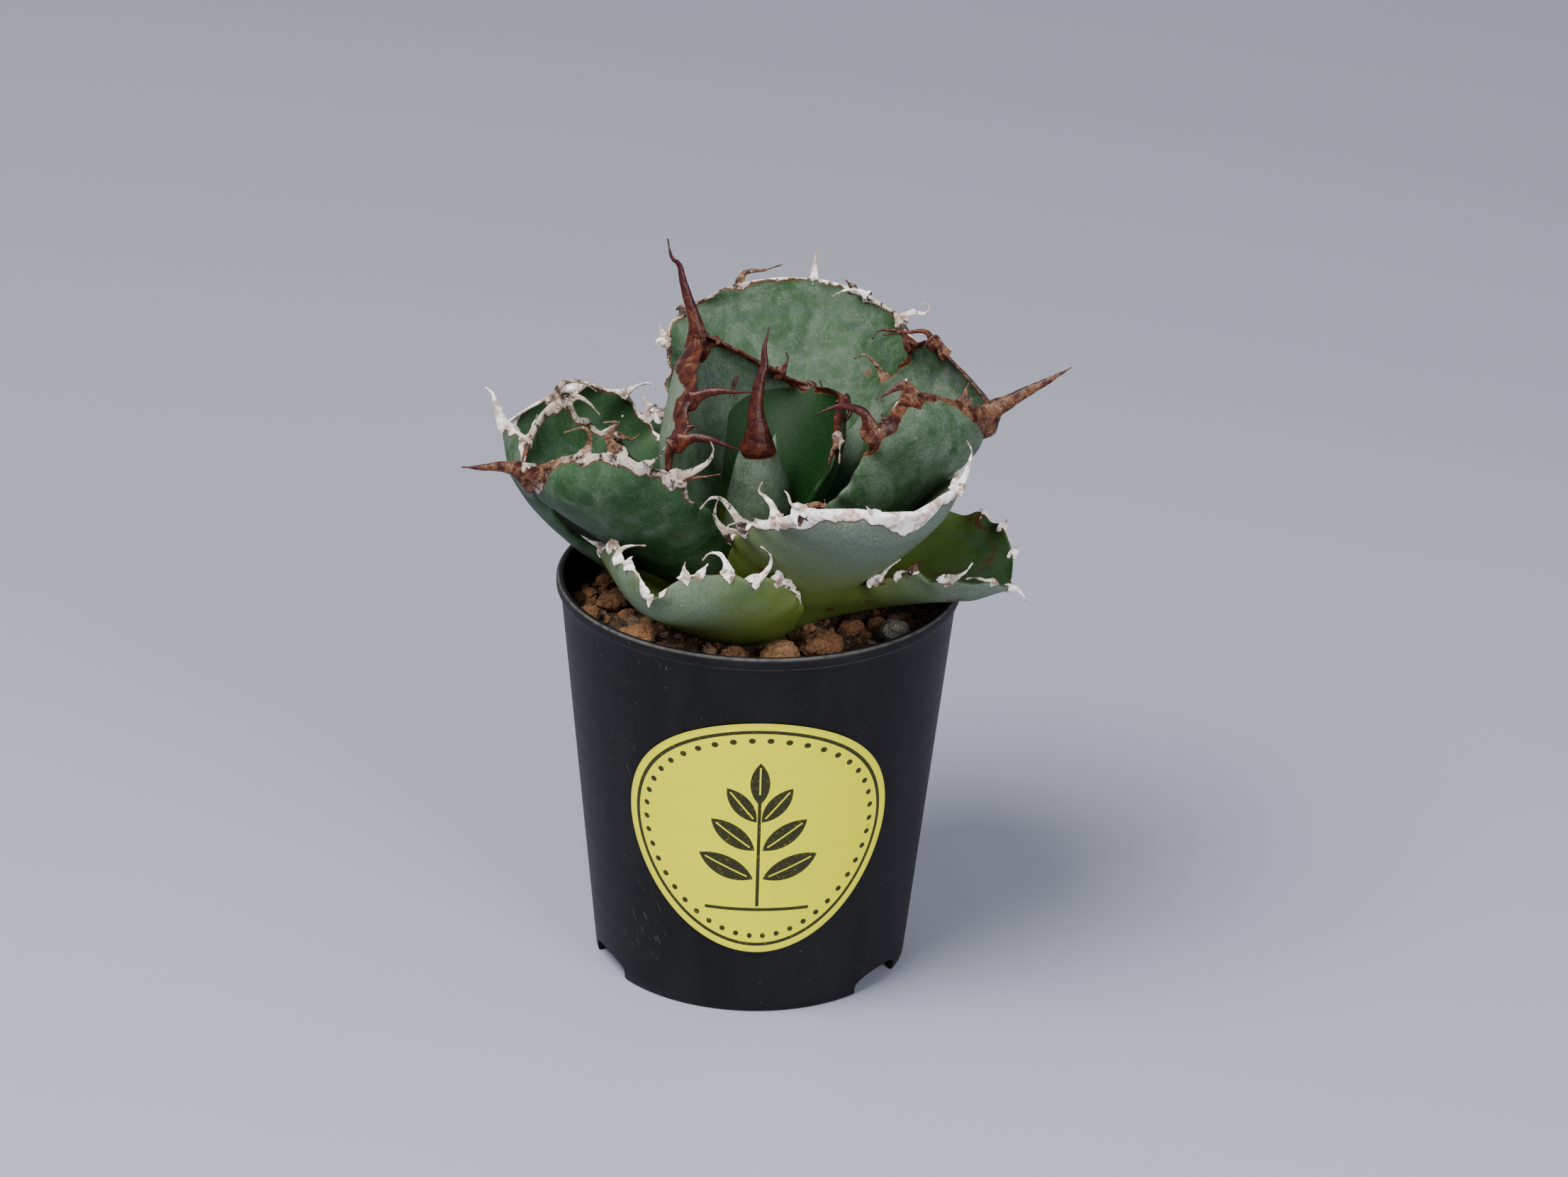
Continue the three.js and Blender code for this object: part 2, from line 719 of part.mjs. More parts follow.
// A rough granule: an icosphere whose corners are pushed in and out by a fixed rule.
function lumpSolid([azimuth, distance, radius], index) {
  const ball = new THREE.IcosahedronGeometry(1, radius > BIG_LUMP ? 1 : 0);
  ball.deleteAttribute("normal");
  ball.deleteAttribute("uv");
  const rough = mergeVertices(ball, MERGE);
  const corners = rough.attributes.position;
  const corner = new THREE.Vector3();
  for (let i = 0; i < corners.count; i++) {
    const reach = LUMP_WAVES.reduce(
      (sum, [share, perCorner, perLump]) => sum + share * Math.sin(perCorner * i + perLump * index),
      1,
    );
    corner.fromBufferAttribute(corners, i).multiplyScalar(radius * reach);
    corners.setXYZ(i, corner.x, corner.y, corner.z * LUMP_SQUASH);
  }
  const { x, y, z } = polar(azimuth, distance, soilHeight(distance) + LUMP_RISE * radius);
  return solid(rough.rotateZ(index).translate(x, y, z));
}

function soilSolid() {
  const floor = FLOOR_TOP + GAP;
  const profile = [
    [0, floor],
    [innerRadius(floor) - GAP, floor],
  ];
  for (let i = SOIL_RINGS; i >= 0; i--) {
    const radius = (i / SOIL_RINGS) * (innerRadius(SOIL_TOP) - GAP);
    profile.push([radius, soilHeight(radius)]);
  }
  return turned(profile, SOIL_SIDES);
}

// ---- the whole plant ---------------------------------------------------------------------

function pottedAgave() {
  const group = new THREE.Group();
  group.add(nurseryPot(), labelSticker());
  const stem = turned(STEM_PROFILE, STEM_SIDES);
  const bud = budSolid();
  group.add(piece("stem", stem, MATERIALS.stem), piece("heart_bud", bud, MATERIALS.leaf));

  // Each leaf is cut back where a younger one, the bud or the stem lies inside it.
  let taken = swollen(stem).add(swollen(bud));
  for (const leaf of LEAVES.map(placed)) {
    const body = leafSolid(leaf);
    group.add(piece(leaf.name, body.subtract(taken), MATERIALS.leaf));
    taken = taken.add(swollen(body));
  }
  const soil = soilSolid();
  group.add(piece("soil_bed", soil.subtract(taken), MATERIALS.soil));
  const bed = swollen(soil);
  LUMPS.forEach((lump, i) => {
    const name = "soil_lump_" + String(i + 1).padStart(2, "0");
    group.add(piece(name, lumpSolid(lump, i).subtract(bed).subtract(taken), MATERIALS.lump));
  });
  return group;
}

export default pottedAgave();
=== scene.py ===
"""Potted agave: a low rosette of broad, horn-edged leaves in a round nursery pot.

Shapes are worked out in millimetres and stored in metres, +Z up, with the origin at the bottom
centre of the pot. Azimuths are degrees counter-clockwise from +X, and the label faces -Y.
"""

import math

import bmesh
import bpy
import numpy as np
from mathutils import Matrix, Vector, noise
from mathutils.kdtree import KDTree


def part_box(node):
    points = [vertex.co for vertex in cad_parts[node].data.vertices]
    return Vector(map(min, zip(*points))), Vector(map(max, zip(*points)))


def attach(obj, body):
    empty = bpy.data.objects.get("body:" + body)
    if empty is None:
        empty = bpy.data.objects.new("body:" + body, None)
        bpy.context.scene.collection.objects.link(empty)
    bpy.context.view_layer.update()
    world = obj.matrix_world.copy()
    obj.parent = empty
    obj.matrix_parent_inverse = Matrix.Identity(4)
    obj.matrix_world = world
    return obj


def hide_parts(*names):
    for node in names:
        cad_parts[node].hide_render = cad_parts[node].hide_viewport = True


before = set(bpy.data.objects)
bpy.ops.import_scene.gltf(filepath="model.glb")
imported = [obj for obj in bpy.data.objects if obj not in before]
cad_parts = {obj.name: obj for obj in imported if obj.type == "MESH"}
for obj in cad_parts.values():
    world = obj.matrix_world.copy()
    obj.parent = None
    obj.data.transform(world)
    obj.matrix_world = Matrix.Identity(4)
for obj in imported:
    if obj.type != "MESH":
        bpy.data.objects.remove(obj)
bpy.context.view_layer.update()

bl_info = {
    "name": "Potted Agave",
    "version": (1, 0, 0),
    "blender": (4, 5, 0),
    "location": "3D View > Sidebar > Potted Agave",
    "description": "Builds a potted agave with horned leaves, gritty soil and a nursery pot",
    "category": "Object",
}

MM = 0.001
BODY = "root"
UP = np.array([0.0, 0.0, 1.0])
LEFT, RIGHT = 1, -1  # a leaf's edges, as seen from the stem

# ---- pot, label and soil, in millimetres -------------------------------------------------
POT_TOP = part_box("nursery_pot")[1].z / MM
RIM_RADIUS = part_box("nursery_pot")[1].x / MM
NECK_RADIUS = 36.7
FOOT_RADIUS = 29.2
WALL = 1.0
BEAD = 2.2
BEAD_ROUNDING = 0.75
LIP_ROUNDING = 0.5
NECK = POT_TOP - BEAD
FLOOR_LOW, FLOOR_HIGH = 4.0, 5.2
POT_SIDES = 216
PINHOLE = 0.02  # turned profiles stop this far from the axis, and an end face closes them
GAP_HALF_ANGLE = 12.5  # of an arched gap in the foot ring, in degrees
GAP_HEIGHT = 3.6
MIDDLE_HOLE = 5.5  # radius of the drain hole in the middle
SIDE_HOLE = 2.6  # radius of those round it
SIDE_HOLE_RING = 17  # their distance from the axis
HOLE_SIDES = 28
LABEL_AZIMUTH = 272
LABEL_HALF = (25.0, 24.5)
LABEL_MIDDLE = 38.0
LABEL_EGG = 0.16
LABEL_SQUARENESS = 1.95
LABEL_LIFT = (0.3, 0.5)  # of its back and its front from the wall
LABEL_RINGS, LABEL_POINTS = 34, 176
SOIL_TOP = 67.5
SOIL_CROWN = 1.2
SOIL_BANK = (0.9, 4)  # how high the soil rises against the wall, and over what width
SOIL_SIDES, SOIL_RINGS = 200, 90
OPEN_SOIL_SIDES, OPEN_SOIL_RINGS = 90, 12
OPEN_SOIL_MIDDLE = 9.0  # stones are strewn from this radius outwards
# Strewn stones: the setting of their density, smallest and largest radius, depth of their
# dents, shift of the seed, and how often their faces are divided.
STREWN = {
    "soil_crumbs": ("crumbs", 0.18, 0.8, 0.22, 0, 1),
    "soil_grit": ("grit", 0.5, 1.5, 0.8, 50, 2),
    "soil_pebbles": ("pebbles", 1.4, 2.7, 1.3, 90, 3),
}
SQUARE_CENTIMETRES = 10000  # in a square metre
DENTS_PER_METRE = 900.0
GRANULE_TONES = [0.5, 0.42, 0.65, 0.38, 0.75, 0.5, 0.45, 0.7, 0.55, 0.6, 0.4]
PUMICE_TONE = 0.96
PUMICE = "soil_lump_01"
GRANULE_DIVISIONS = 5
STEM_PROFILE = [(0, 38), (1.2, 39), (4, 52), (7.5, 64), (7.5, 70), (4.6, 78), (2.4, 84), (0, 85)]
BUD_PROFILE = [(0, 85.2), (1.5, 85.8), (2.3, 90), (1.7, 96.5), (0.7, 101.8), (0, 104)]
BUD_LEAN = (2.5, 20)  # how far the bud's top leans, and to which azimuth
STEM_SIDES, BUD_SIDES = 64, 48

# ---- the leaf spiral ---------------------------------------------------------------------
OLDEST_AZIMUTH = -25
SPIRAL_TURN = 137.5
OLDEST_FOOT = (4, 70)
YOUNGEST_FOOT = (2, 82)

# Teeth and spines are drawn as they look from the front, from this far above the level.
LOOK_DOWN = math.radians(26)
SEEN_WAYS = np.array(
    [
        [1.0, 0.0, 0.0],
        [0.0, math.sin(LOOK_DOWN), math.cos(LOOK_DOWN)],
        [0.0, -math.cos(LOOK_DOWN), math.sin(LOOK_DOWN)],
    ]
)  # to the right, up, and towards the viewer

# Youngest leaf first, in millimetres and degrees. Shape: drift from the spiral, length, rise at
# base and tip, half width at base and where widest, share of the length where that is, taper
# exponents beyond it, and fold, the half angle of the gutter at base, middle and tip. thick is
# the thickness of the midrib at base and tip, roll a turn about the leaf's own length, sweep a
# bend to the side, and tuck draws an edge in: (edge, how far). spine: (half width, further half
# width at its root, age, path); teeth: (edge, share of the length, half width, age, path). A
# path goes from the root through points this far to the right and up, and towards the viewer
# where a third number is given. Age runs from 0, fresh red-brown, to 1, weathered white. For the
# left and right edge: age of the horn, width of its band, radius of its bead, and start, the
# share of the length where horn begins. skirt is its reach below the spine on the outer and
# inner face, fringe the number of small teeth, wax the thickness of the bloom on the outer and
# inner face, and sun how far up the foot is yellow-green.
GROWN = {"thick": (8, 3), "roll": 0, "sweep": 0, "tuck": (LEFT, 0)}
TENDER = {"thick": (5, 2.5), "roll": 0, "sweep": 0, "tuck": (LEFT, 0)}
LEAVES = [
    {
        **TENDER, "name": "heart_right", "drift": 8, "length": 30, "rise": (75, 50),
        "half": (8, 19), "widest": 0.55, "taper": (2, 0.35), "fold": (80, 70, 60),
        "spine": (0.8, 0.5, 0.2, ((-0.4, 0.8), (-1.3, 1.3))),
        "teeth": [
            (LEFT, 0.97, 0.85, 0.08, ((-1.5, 0.2), (-3.1, -0.5), (-4, -2.5), (-4.2, -5.5))),
            (LEFT, 0.7, 0.6, 0.1, ((0.6, 1.2), (1, 2.6), (0.8, 4))),
            (RIGHT, 0.93, 0.85, 0.08, ((1.3, -1.6), (1, -3.3), (-0.4, -4.2), (-2.2, -4.7))),
            (RIGHT, 0.7, 0.8, 0.3, ((-0.4, -1.4), (-1.2, -3), (-2.1, -6.6))),
            (RIGHT, 0.72, 0.4, 0.6, ((0.3, -2.2), (0.3, -5.4))),
        ],
        "age": (0.12, 0.1), "band": (1.4, 1.1), "bead": (0.6, 0.75), "start": (0.62, 0.62),
        "skirt": (1.5, 1.0), "fringe": 1, "wax": (0.3, -0.1), "sun": 0.3,
    },
    {
        **TENDER, "name": "heart_front", "drift": -8, "length": 27.5, "rise": (80, 85),
        "half": (9, 8), "widest": 0.4, "taper": (1.5, 1), "fold": (110, 130, 120),
        "spine": (2.2, 1.5, 0.05, ((-0.3, 2.5), (-0.4, 5), (0.1, 9), (0.9, 12), (0.8, 15), (1.6, 19))),
        "teeth": [],
        "age": (0.1, 0.1), "band": (0.8, 0.8), "bead": (0.45, 0.5), "start": (0.8, 0.8),
        "skirt": (4.6, 3.0), "fringe": 0, "wax": (0.55, 0.3), "sun": 0.15,
    },
    {
        **GROWN, "name": "inner_left", "drift": 8, "length": 44, "rise": (60, 85), "half": (10, 21),
        "widest": 0.5, "taper": (2, 1), "fold": (85, 50, 105), "roll": -5,
        "spine": (
            1.75, 1.0, 0.16,
            ((-0.6, 2.8), (-1.8, 6.2), (-2.8, 9.4), (-3.5, 12.2), (-5, 13.6), (-5.8, 17)),
        ),
        "teeth": [
            (LEFT, 0.8, 1.2, 0.1, ((2.8, 1.4), (5.5, 1.8), (8.5, 1.7), (11.8, 1.7))),
            (LEFT, 0.65, 1.25, 0.1, ((3, 0.9), (5.7, 0.6), (9, -0.5), (11.8, -1.4))),
            (LEFT, 0.7, 0.4, 0.15, ((1.2, 0.4), (2.3, 0.2))),
            (RIGHT, 0.78, 0.7, 0.15, ((0.8, 1.2), (1.4, 2.6), (1, 3.8))),
            (RIGHT, 0.6, 0.6, 0.15, ((0.8, 1), (1.2, 2.2), (0.8, 3.4))),
        ],
        "age": (0.17, 0.25), "band": (2.2, 1.2), "bead": (0.4, 0.5), "start": (0.52, 0.52),
        "skirt": (6.5, 3.0), "fringe": 1, "wax": (0.6, 0.5), "sun": 0.3,
    },
    {
        **GROWN, "name": "right", "drift": 0, "length": 53, "rise": (34, 52), "half": (16, 26),
        "widest": 0.8, "taper": (2.5, 0.6), "fold": (75, 60, 90), "sweep": -5,
        "spine": (2.1, 1.4, 0.3, ((2.6, 1.5), (5.4, 3.2), (9.3, 5.3), (14.2, 8.2))),
        "teeth": [
            (RIGHT, 0.99, 1.0, 0.35, ((0.3, 2), (0.9, 3.9))),
            (RIGHT, 0.94, 1.25, 0.22, ((-0.9, 1.8), (-2.8, 1.2), (-6.2, -0.9))),
            (RIGHT, 0.8, 1.3, 0.1, ((-0.8, 2.2), (-2, 3.5), (-5.8, 4.2), (-10.1, 2.6))),
            (LEFT, 0.96, 0.7, 0.3, ((-1.4, 2.9), (-2.7, 2.5), (-3.9, 0.7))),
            (LEFT, 0.93, 0.7, 0.2, ((-1.6, 2.3), (-5.2, 2.1), (-9.6, 1.5))),
            (LEFT, 0.83, 0.75, 0.2, ((-1.3, 2), (-2.9, 2.5), (-5.7, 2.4), (-7, 0.8))),
            (LEFT, 0.65, 0.7, 0.5, ((-1.4, 2.2), (-3.8, 4.4), (-5.9, 3.6))),
        ],
        "age": (0.26, 0.27), "band": (0.9, 1.1), "bead": (0.5, 0.5), "start": (0.7, 0.7),
        "skirt": (4.5, 3.5), "fringe": 3, "wax": (0.46, 0.5), "sun": 0.25,
    },
    {
        **GROWN, "name": "left", "drift": -15, "length": 52, "rise": (32, 35), "half": (13, 23),
        "widest": 0.75, "taper": (2.5, 1), "fold": (55, 65, 70), "roll": 5,
        "spine": (2.0, 1.3, 0.28, ((-3.4, 0.7), (-7.4, 0.4), (-10.8, 0.4))),
        "teeth": [
            (LEFT, 0.93, 0.75, 0.5, ((0.8, 2.2), (0.6, 4), (-0.8, 4.8), (-3.8, 3.8))),
            (LEFT, 0.88, 1.2, 0.48, ((-1.6, 2.4), (-1, 4.3), (0.1, 5.2), (-1.3, 5.6), (-2.8, 5.3))),
            (LEFT, 0.8, 0.5, 0.6, ((1.6, 0.8), (2.9, 1.8), (3.7, 3.4))),
            (LEFT, 0.66, 1.0, 0.6, ((3.2, 1.2), (5.6, 3), (6.4, 5), (5.8, 6.6))),
            (LEFT, 0.64, 0.5, 0.3, ((3.4, 0.3), (6.8, 0.9))),
            (RIGHT, 0.85, 0.9, 0.55, ((1.2, 3.2), (3.5, 4), (5.8, 3.4), (7.8, 2.1))),
            (RIGHT, 0.8, 0.75, 0.58, ((2, 0.7), (4.2, -0.6), (6.1, -2.6))),
            (RIGHT, 0.55, 0.6, 0.42, ((1.7, -0.3), (2.9, -0.5), (4.3, 0.6))),
        ],
        "age": (0.59, 0.58), "band": (1.0, 1.2), "bead": (0.28, 0.34), "start": (0.55, 0.55),
        "skirt": (5.0, 2.5), "fringe": 2, "wax": (0.38, 0.35), "sun": 0.3,
    },
    {
        **GROWN, "name": "back", "drift": 0, "length": 60, "rise": (37, 62), "half": (13, 26),
        "widest": 0.7, "taper": (2, 0.6), "fold": (60, 60, 25), "sweep": -5,
        "spine": (0.9, 0.3, 0.75, ((0.1, 2.8), (0.4, 6.2))),
        "teeth": [
            (LEFT, 0.95, 0.7, 0.48, ((0.6, 1.9), (1.8, 2.5), (4.4, 2.7), (8, 3.9))),
            (LEFT, 0.83, 0.7, 0.45, ((-0.8, 0.4), (-1.5, 0))),
            (LEFT, 0.72, 0.6, 0.9, ((-0.6, 1.2), (-0.9, 2.6))),
            (LEFT, 0.7, 0.6, 0.9, ((-1.2, 0.2), (-1.7, -1.2))),
            (RIGHT, 0.98, 0.5, 0.55, ((-0.8, 1), (-1.7, 1.8))),
            (RIGHT, 0.96, 0.65, 0.95, ((-2.2, 1), (-4.6, 0.8), (-6.8, -0.4))),
            (RIGHT, 0.89, 0.85, 0.68, ((2, 1.4), (3.9, 1.1), (5, 1.6), (4.9, 2.8), (4, 3))),
            (RIGHT, 0.78, 0.8, 0.95, ((-0.6, -2.8), (-1.4, -5.8))),
        ],
        "age": (0.56, 0.58), "band": (0.5, 0.5), "bead": (0.22, 0.22), "start": (0.55, 0.55),
        "skirt": (1.2, 0.6), "fringe": 3, "wax": (0.45, 0.42), "sun": 0.35,
    },
    {
        **GROWN, "name": "front_right", "drift": 5, "length": 55, "rise": (35, 40),
        "half": (12, 22), "widest": 0.6, "taper": (2.5, 0.65), "fold": (50, 50, 30), "sweep": -5,
        "spine": (0.9, 0.5, 0.85, ((1, 0.5), (1.9, 0.7))),
        "teeth": [
            (LEFT, 0.94, 0.85, 0.95, ((1.2, 2), (2, 4.5), (2.5, 6.8), (1.5, 8.9))),
            (LEFT, 0.7, 0.6, 0.9, ((0.6, 1.6), (0.4, 3.4))),
            (RIGHT, 0.88, 0.75, 0.7, ((-1.3, 0.8), (-2.7, 1.2), (-3.3, 2.8), (-4, 3.6))),
            (RIGHT, 0.86, 1.3, 0.4, ((1.2, 0.6), (3, 1.6), (4.4, 1.3), (4.2, 2.6))),
            (RIGHT, 0.78, 0.95, 0.75, ((-0.8, 2.4), (-2.2, 4), (-3.3, 5), (-2.7, 6.6))),
            (RIGHT, 0.6, 0.95, 0.62, ((-1.6, 1.8), (-3.3, 4), (-4.7, 5.1), (-6.4, 5), (-8.2, 3))),
            (RIGHT, 0.45, 0.85, 0.6, ((-1.9, 1.5), (-3, 3.4), (-2.8, 5.4), (-2.2, 7))),
            (RIGHT, 0.44, 0.4, 0.68, ((-0.4, 1.6), (0.8, 2.2), (2.2, 2.4))),
        ],
        "age": (0.93, 0.93), "band": (1.1, 1.5), "bead": (0.24, 0.28), "start": (0.4, 0.66),
        "skirt": (4.6, 1.8), "fringe": 3, "wax": (0.76, 0.5), "sun": 0.95,
    },
    {
        **GROWN, "name": "far_left", "drift": -3, "length": 54, "rise": (18, 42), "half": (13, 25),
        "widest": 0.7, "taper": (2.5, 0.7), "fold": (50, 30, 65), "tuck": (LEFT, 5),
        "spine": (1.4, 0.8, 0.97, ((-1.5, 3.6), (-2.4, 5.8), (-3.9, 7.2))),
        "teeth": [
            (LEFT, 0.97, 0.5, 0.95, ((-1, 0.4), (-1.9, 1.2))),
            (LEFT, 0.91, 0.75, 0.9, ((1.2, 1.6), (1.7, 3.4), (2.4, 5.4))),
            (RIGHT, 0.92, 0.8, 0.9, ((1.6, 0.8), (3.4, 1))),
            (RIGHT, 0.77, 0.55, 0.95, ((2.6, 1.7), (4.8, 2.1), (5.9, 1))),
            (RIGHT, 0.65, 0.7, 0.62, ((0.2, 1.8), (1.4, 2.6), (3, 1.9), (4.4, 2.8))),
            (RIGHT, 0.5, 0.3, 0.9, ((0.8, 1.9), (1.3, 4))),
        ],
        "age": (0.95, 0.92), "band": (0.6, 0.5), "bead": (0.28, 0.28), "start": (0.78, 0.5),
        "skirt": (3.0, 2.5), "fringe": 3, "wax": (0.4, 0.3), "sun": 0.5,
    },
    {
        **GROWN, "name": "low_back_right", "drift": 14, "length": 45, "rise": (15, 40),
        "half": (12, 23), "widest": 0.65, "taper": (2, 0.6), "fold": (50, 50, 50),
        "spine": (1.2, 0.6, 0.9, ((2, 2), (3.6, 3.8))),
        "teeth": [
            (LEFT, 0.9, 0.7, 0.9, ((1, 2), (1, 4))),
            (LEFT, 0.72, 0.8, 0.9, ((0.2, 2.4), (-1, 4.6))),
            (RIGHT, 0.88, 0.7, 0.9, ((2.4, 1.4), (3.6, 3))),
            (RIGHT, 0.66, 0.7, 0.9, ((2.2, 0.8), (3.2, 2))),
        ],
        "age": (0.92, 0.9), "band": (0.8, 0.8), "bead": (0.4, 0.4), "start": (0.45, 0.45),
        "skirt": (3.0, 2.0), "fringe": 4, "wax": (0.5, 0.3), "sun": 0.5,
    },
    {
        **GROWN, "name": "low_front", "drift": -12, "length": 41, "rise": (20, 30),
        "half": (12, 20), "widest": 0.5, "taper": (2, 0.8), "fold": (25, 35, 75), "sweep": 10,
        "spine": (0.8, 0.4, 0.95, ((-0.4, -0.8), (-0.5, -1.8))),
        "teeth": [
            (RIGHT, 0.93, 0.6, 0.95, ((0.2, 1), (0.7, 1.5))),
            (RIGHT, 0.87, 0.6, 0.95, ((0.3, 1.5), (1.8, 2.4), (4.9, 2.6))),
            (RIGHT, 0.78, 0.7, 0.95, ((1, 2.6), (3, 3.6), (6.2, 2.4))),
            (RIGHT, 0.64, 0.55, 0.95, ((-2, 0.9), (-4.1, 2.1))),
            (LEFT, 0.95, 0.7, 0.95, ((-0.2, 1.5), (0, 2.9))),
            (LEFT, 0.92, 0.5, 0.95, ((0.7, 1), (1.4, 2))),
            (LEFT, 0.85, 0.8, 0.95, ((-0.5, 2), (-1.6, 3.5), (-3.4, 3.6), (-4.7, 2.3))),
            (LEFT, 0.76, 0.8, 0.95, ((1.6, 1.1, 0.8), (2.8, 2.9, 1.8), (2.6, 5, 2.9), (1, 6, 3.6))),
            (LEFT, 0.66, 0.7, 0.95, ((0.2, 2, 1), (0.6, 3.8, 2), (1.4, 2.8, 2), (2.2, 1.3, 1.8))),
            (LEFT, 0.62, 0.5, 0.92, ((0.9, -0.6), (1.7, -1.1))),
            (LEFT, 0.58, 0.45, 0.7, ((0.8, -0.9), (1.7, -1.5))),
            (LEFT, 0.54, 0.35, 0.6, ((0.6, -1), (0.9, -2))),
        ],
        "age": (0.97, 0.97), "band": (0.0, 0.1), "bead": (0.0, 0.22), "start": (0.5, 0.56),
        "skirt": (2.5, 1.5), "fringe": 6, "wax": (0.55, 0.2), "sun": 1.15,
    },
    {
        **GROWN, "name": "low_back_left", "drift": 5, "length": 47, "rise": (10, 45),
        "half": (11, 23), "widest": 0.65, "taper": (2, 0.6), "fold": (50, 50, 50),
        "spine": (1.2, 0.6, 0.9, ((-1.4, 2), (-2.4, 3.8))),
        "teeth": [
            (LEFT, 0.86, 0.7, 0.9, ((-1.6, 1.2), (-2.4, 2.8))),
            (LEFT, 0.66, 0.6, 0.9, ((-1.4, 0.8), (-2, 2))),
            (RIGHT, 0.88, 0.8, 0.9, ((-0.6, 2.2), (0.6, 4.2))),
            (RIGHT, 0.78, 0.5, 0.9, ((0.2, 1.2), (0.4, 2.2))),
            (RIGHT, 0.7, 0.7, 0.9, ((0.4, 1.8), (1.4, 3.2))),
        ],
        "age": (0.93, 0.9), "band": (0.9, 0.9), "bead": (0.4, 0.45), "start": (0.45, 0.45),
        "skirt": (3.0, 2.0), "fringe": 5, "wax": (0.4, 0.2), "sun": 0.5,
    },
    {
        **TENDER, "name": "low_right", "drift": 15, "length": 45, "rise": (27, 0), "half": (10, 18),
        "widest": 0.65, "taper": (2.5, 0.7), "fold": (30, 45, 45), "sweep": -10,
        "spine": (0.8, 0.4, 0.95, ((1.6, -0.4), (2.6, -1.4), (3.2, -2.4))),
        "teeth": [
            (LEFT, 0.96, 0.5, 0.95, ((0.8, 0.5), (0.4, 1.3))),
            (LEFT, 0.89, 0.55, 0.95, ((0.9, 0.7), (0.6, 1.5))),
            (LEFT, 0.8, 0.5, 0.95, ((-0.4, 0.9), (-1.1, 1))),
            (LEFT, 0.62, 0.5, 0.95, ((-0.8, 0.7), (-1.5, 1.3))),
            (RIGHT, 0.97, 0.45, 0.95, ((-1.6, 0.4), (-3.6, 0.8), (-5, 0.5))),
            (RIGHT, 0.85, 0.7, 0.95, ((1.5, 0.6), (3, 1.6), (4.2, 3.2))),
            (RIGHT, 0.82, 0.4, 0.95, ((0.5, 0.7), (0.9, 1.2))),
            (RIGHT, 0.72, 0.6, 0.3, ((0.8, 0.9), (2, 1.5))),
            (RIGHT, 0.72, 0.45, 0.35, ((0.3, 0.5), (-0.4, -1), (-1.2, -1.6))),
            (RIGHT, 0.65, 0.45, 0.95, ((0.5, 0.9), (1.3, 1), (1.9, 0.4))),
            (RIGHT, 0.57, 0.55, 0.95, ((1.1, 1.1), (2.4, 2.6), (4.2, 3.9))),
            (RIGHT, 0.54, 0.4, 0.95, ((0.4, 0.6), (0.9, 0.5))),
            (RIGHT, 0.44, 0.4, 0.65, ((1, 0.9), (2.2, 1.7))),
        ],
        "age": (0.95, 0.95), "band": (0.0, 0.0), "bead": (0.0, 0.0), "start": (0.5, 0.5),
        "skirt": (1.6, 1.6), "fringe": 2, "wax": (0.65, 0.1), "sun": 1.1,
    },
]
RIB_STEPS = 100
LEAF_RINGS = 190
LEAF_COLUMNS = 52
# Exponents: how rings crowd towards the tip, how the foot widens, how the midrib thins, and how
# full the section is.
TIP_CROWDING = 1.6
BASE_FLARE = 1.3
MIDRIB_THINNING = 0.8
SECTION_FULLNESS = 2.2
EDGE_THICKNESS = 0.8
BLUNT = (0.14, 0.35)  # the last share of the length that thins, and how thin its end is
TIP_HALF_WIDTH = 1.2
MARGIN_SAMPLES = 420
BEAD_STEPS = 170
SPINE_ROOT = 7  # how far a spine's root runs back into the leaf, at most
SPINE_SEAT = 4  # reach over which the root grows to its full size
SPINE_SWELL = (2.8, 4.2)  # where along a full root it is thickest, and over what reach
SPINE_DEPTH = 1  # how deep under the inner face the root starts
TOOTH_ROOT = 1  # how far inside the edge a tooth starts
TOOTH_FOOT = 1.2  # reach over which a tooth's root widens
HORN_FINEST = (0.17, 0.15)  # least half width and half thickness
HORN_LEAN = 0.7  # the most that a horn leans to or from the viewer
HORN_VOXEL = 0.13
HORN_SIDES = 12
HORN_STEPS = 32
EDGES = {LEFT: 0, RIGHT: 1}  # an edge's place in a pair of values

# ---- stage, in metres and degrees --------------------------------------------------------
FLOOR_HALF = 4.0
CAMERA_AIM = 0.0375  # height on the pot's axis, near its middle
CAMERA_TURNS = (0.253, 1.737, 1.457)  # right, up, and round the view's axis
CAMERA_SENSOR = 36  # millimetres
# Lights: place, the point they face, diameter, share of the key light's power, and colour.
LIGHTS = {
    "key": ((-0.55, -0.45, 1.25), (0, 0, 0.08), 0.9, 1.0, (1.0, 0.98, 0.95)),
    "fill": ((0.7, -0.95, 0.6), (0, 0, 0.06), 0.7, 0.34, (0.97, 0.98, 1.0)),
}


# ---- node trees --------------------------------------------------------------------------


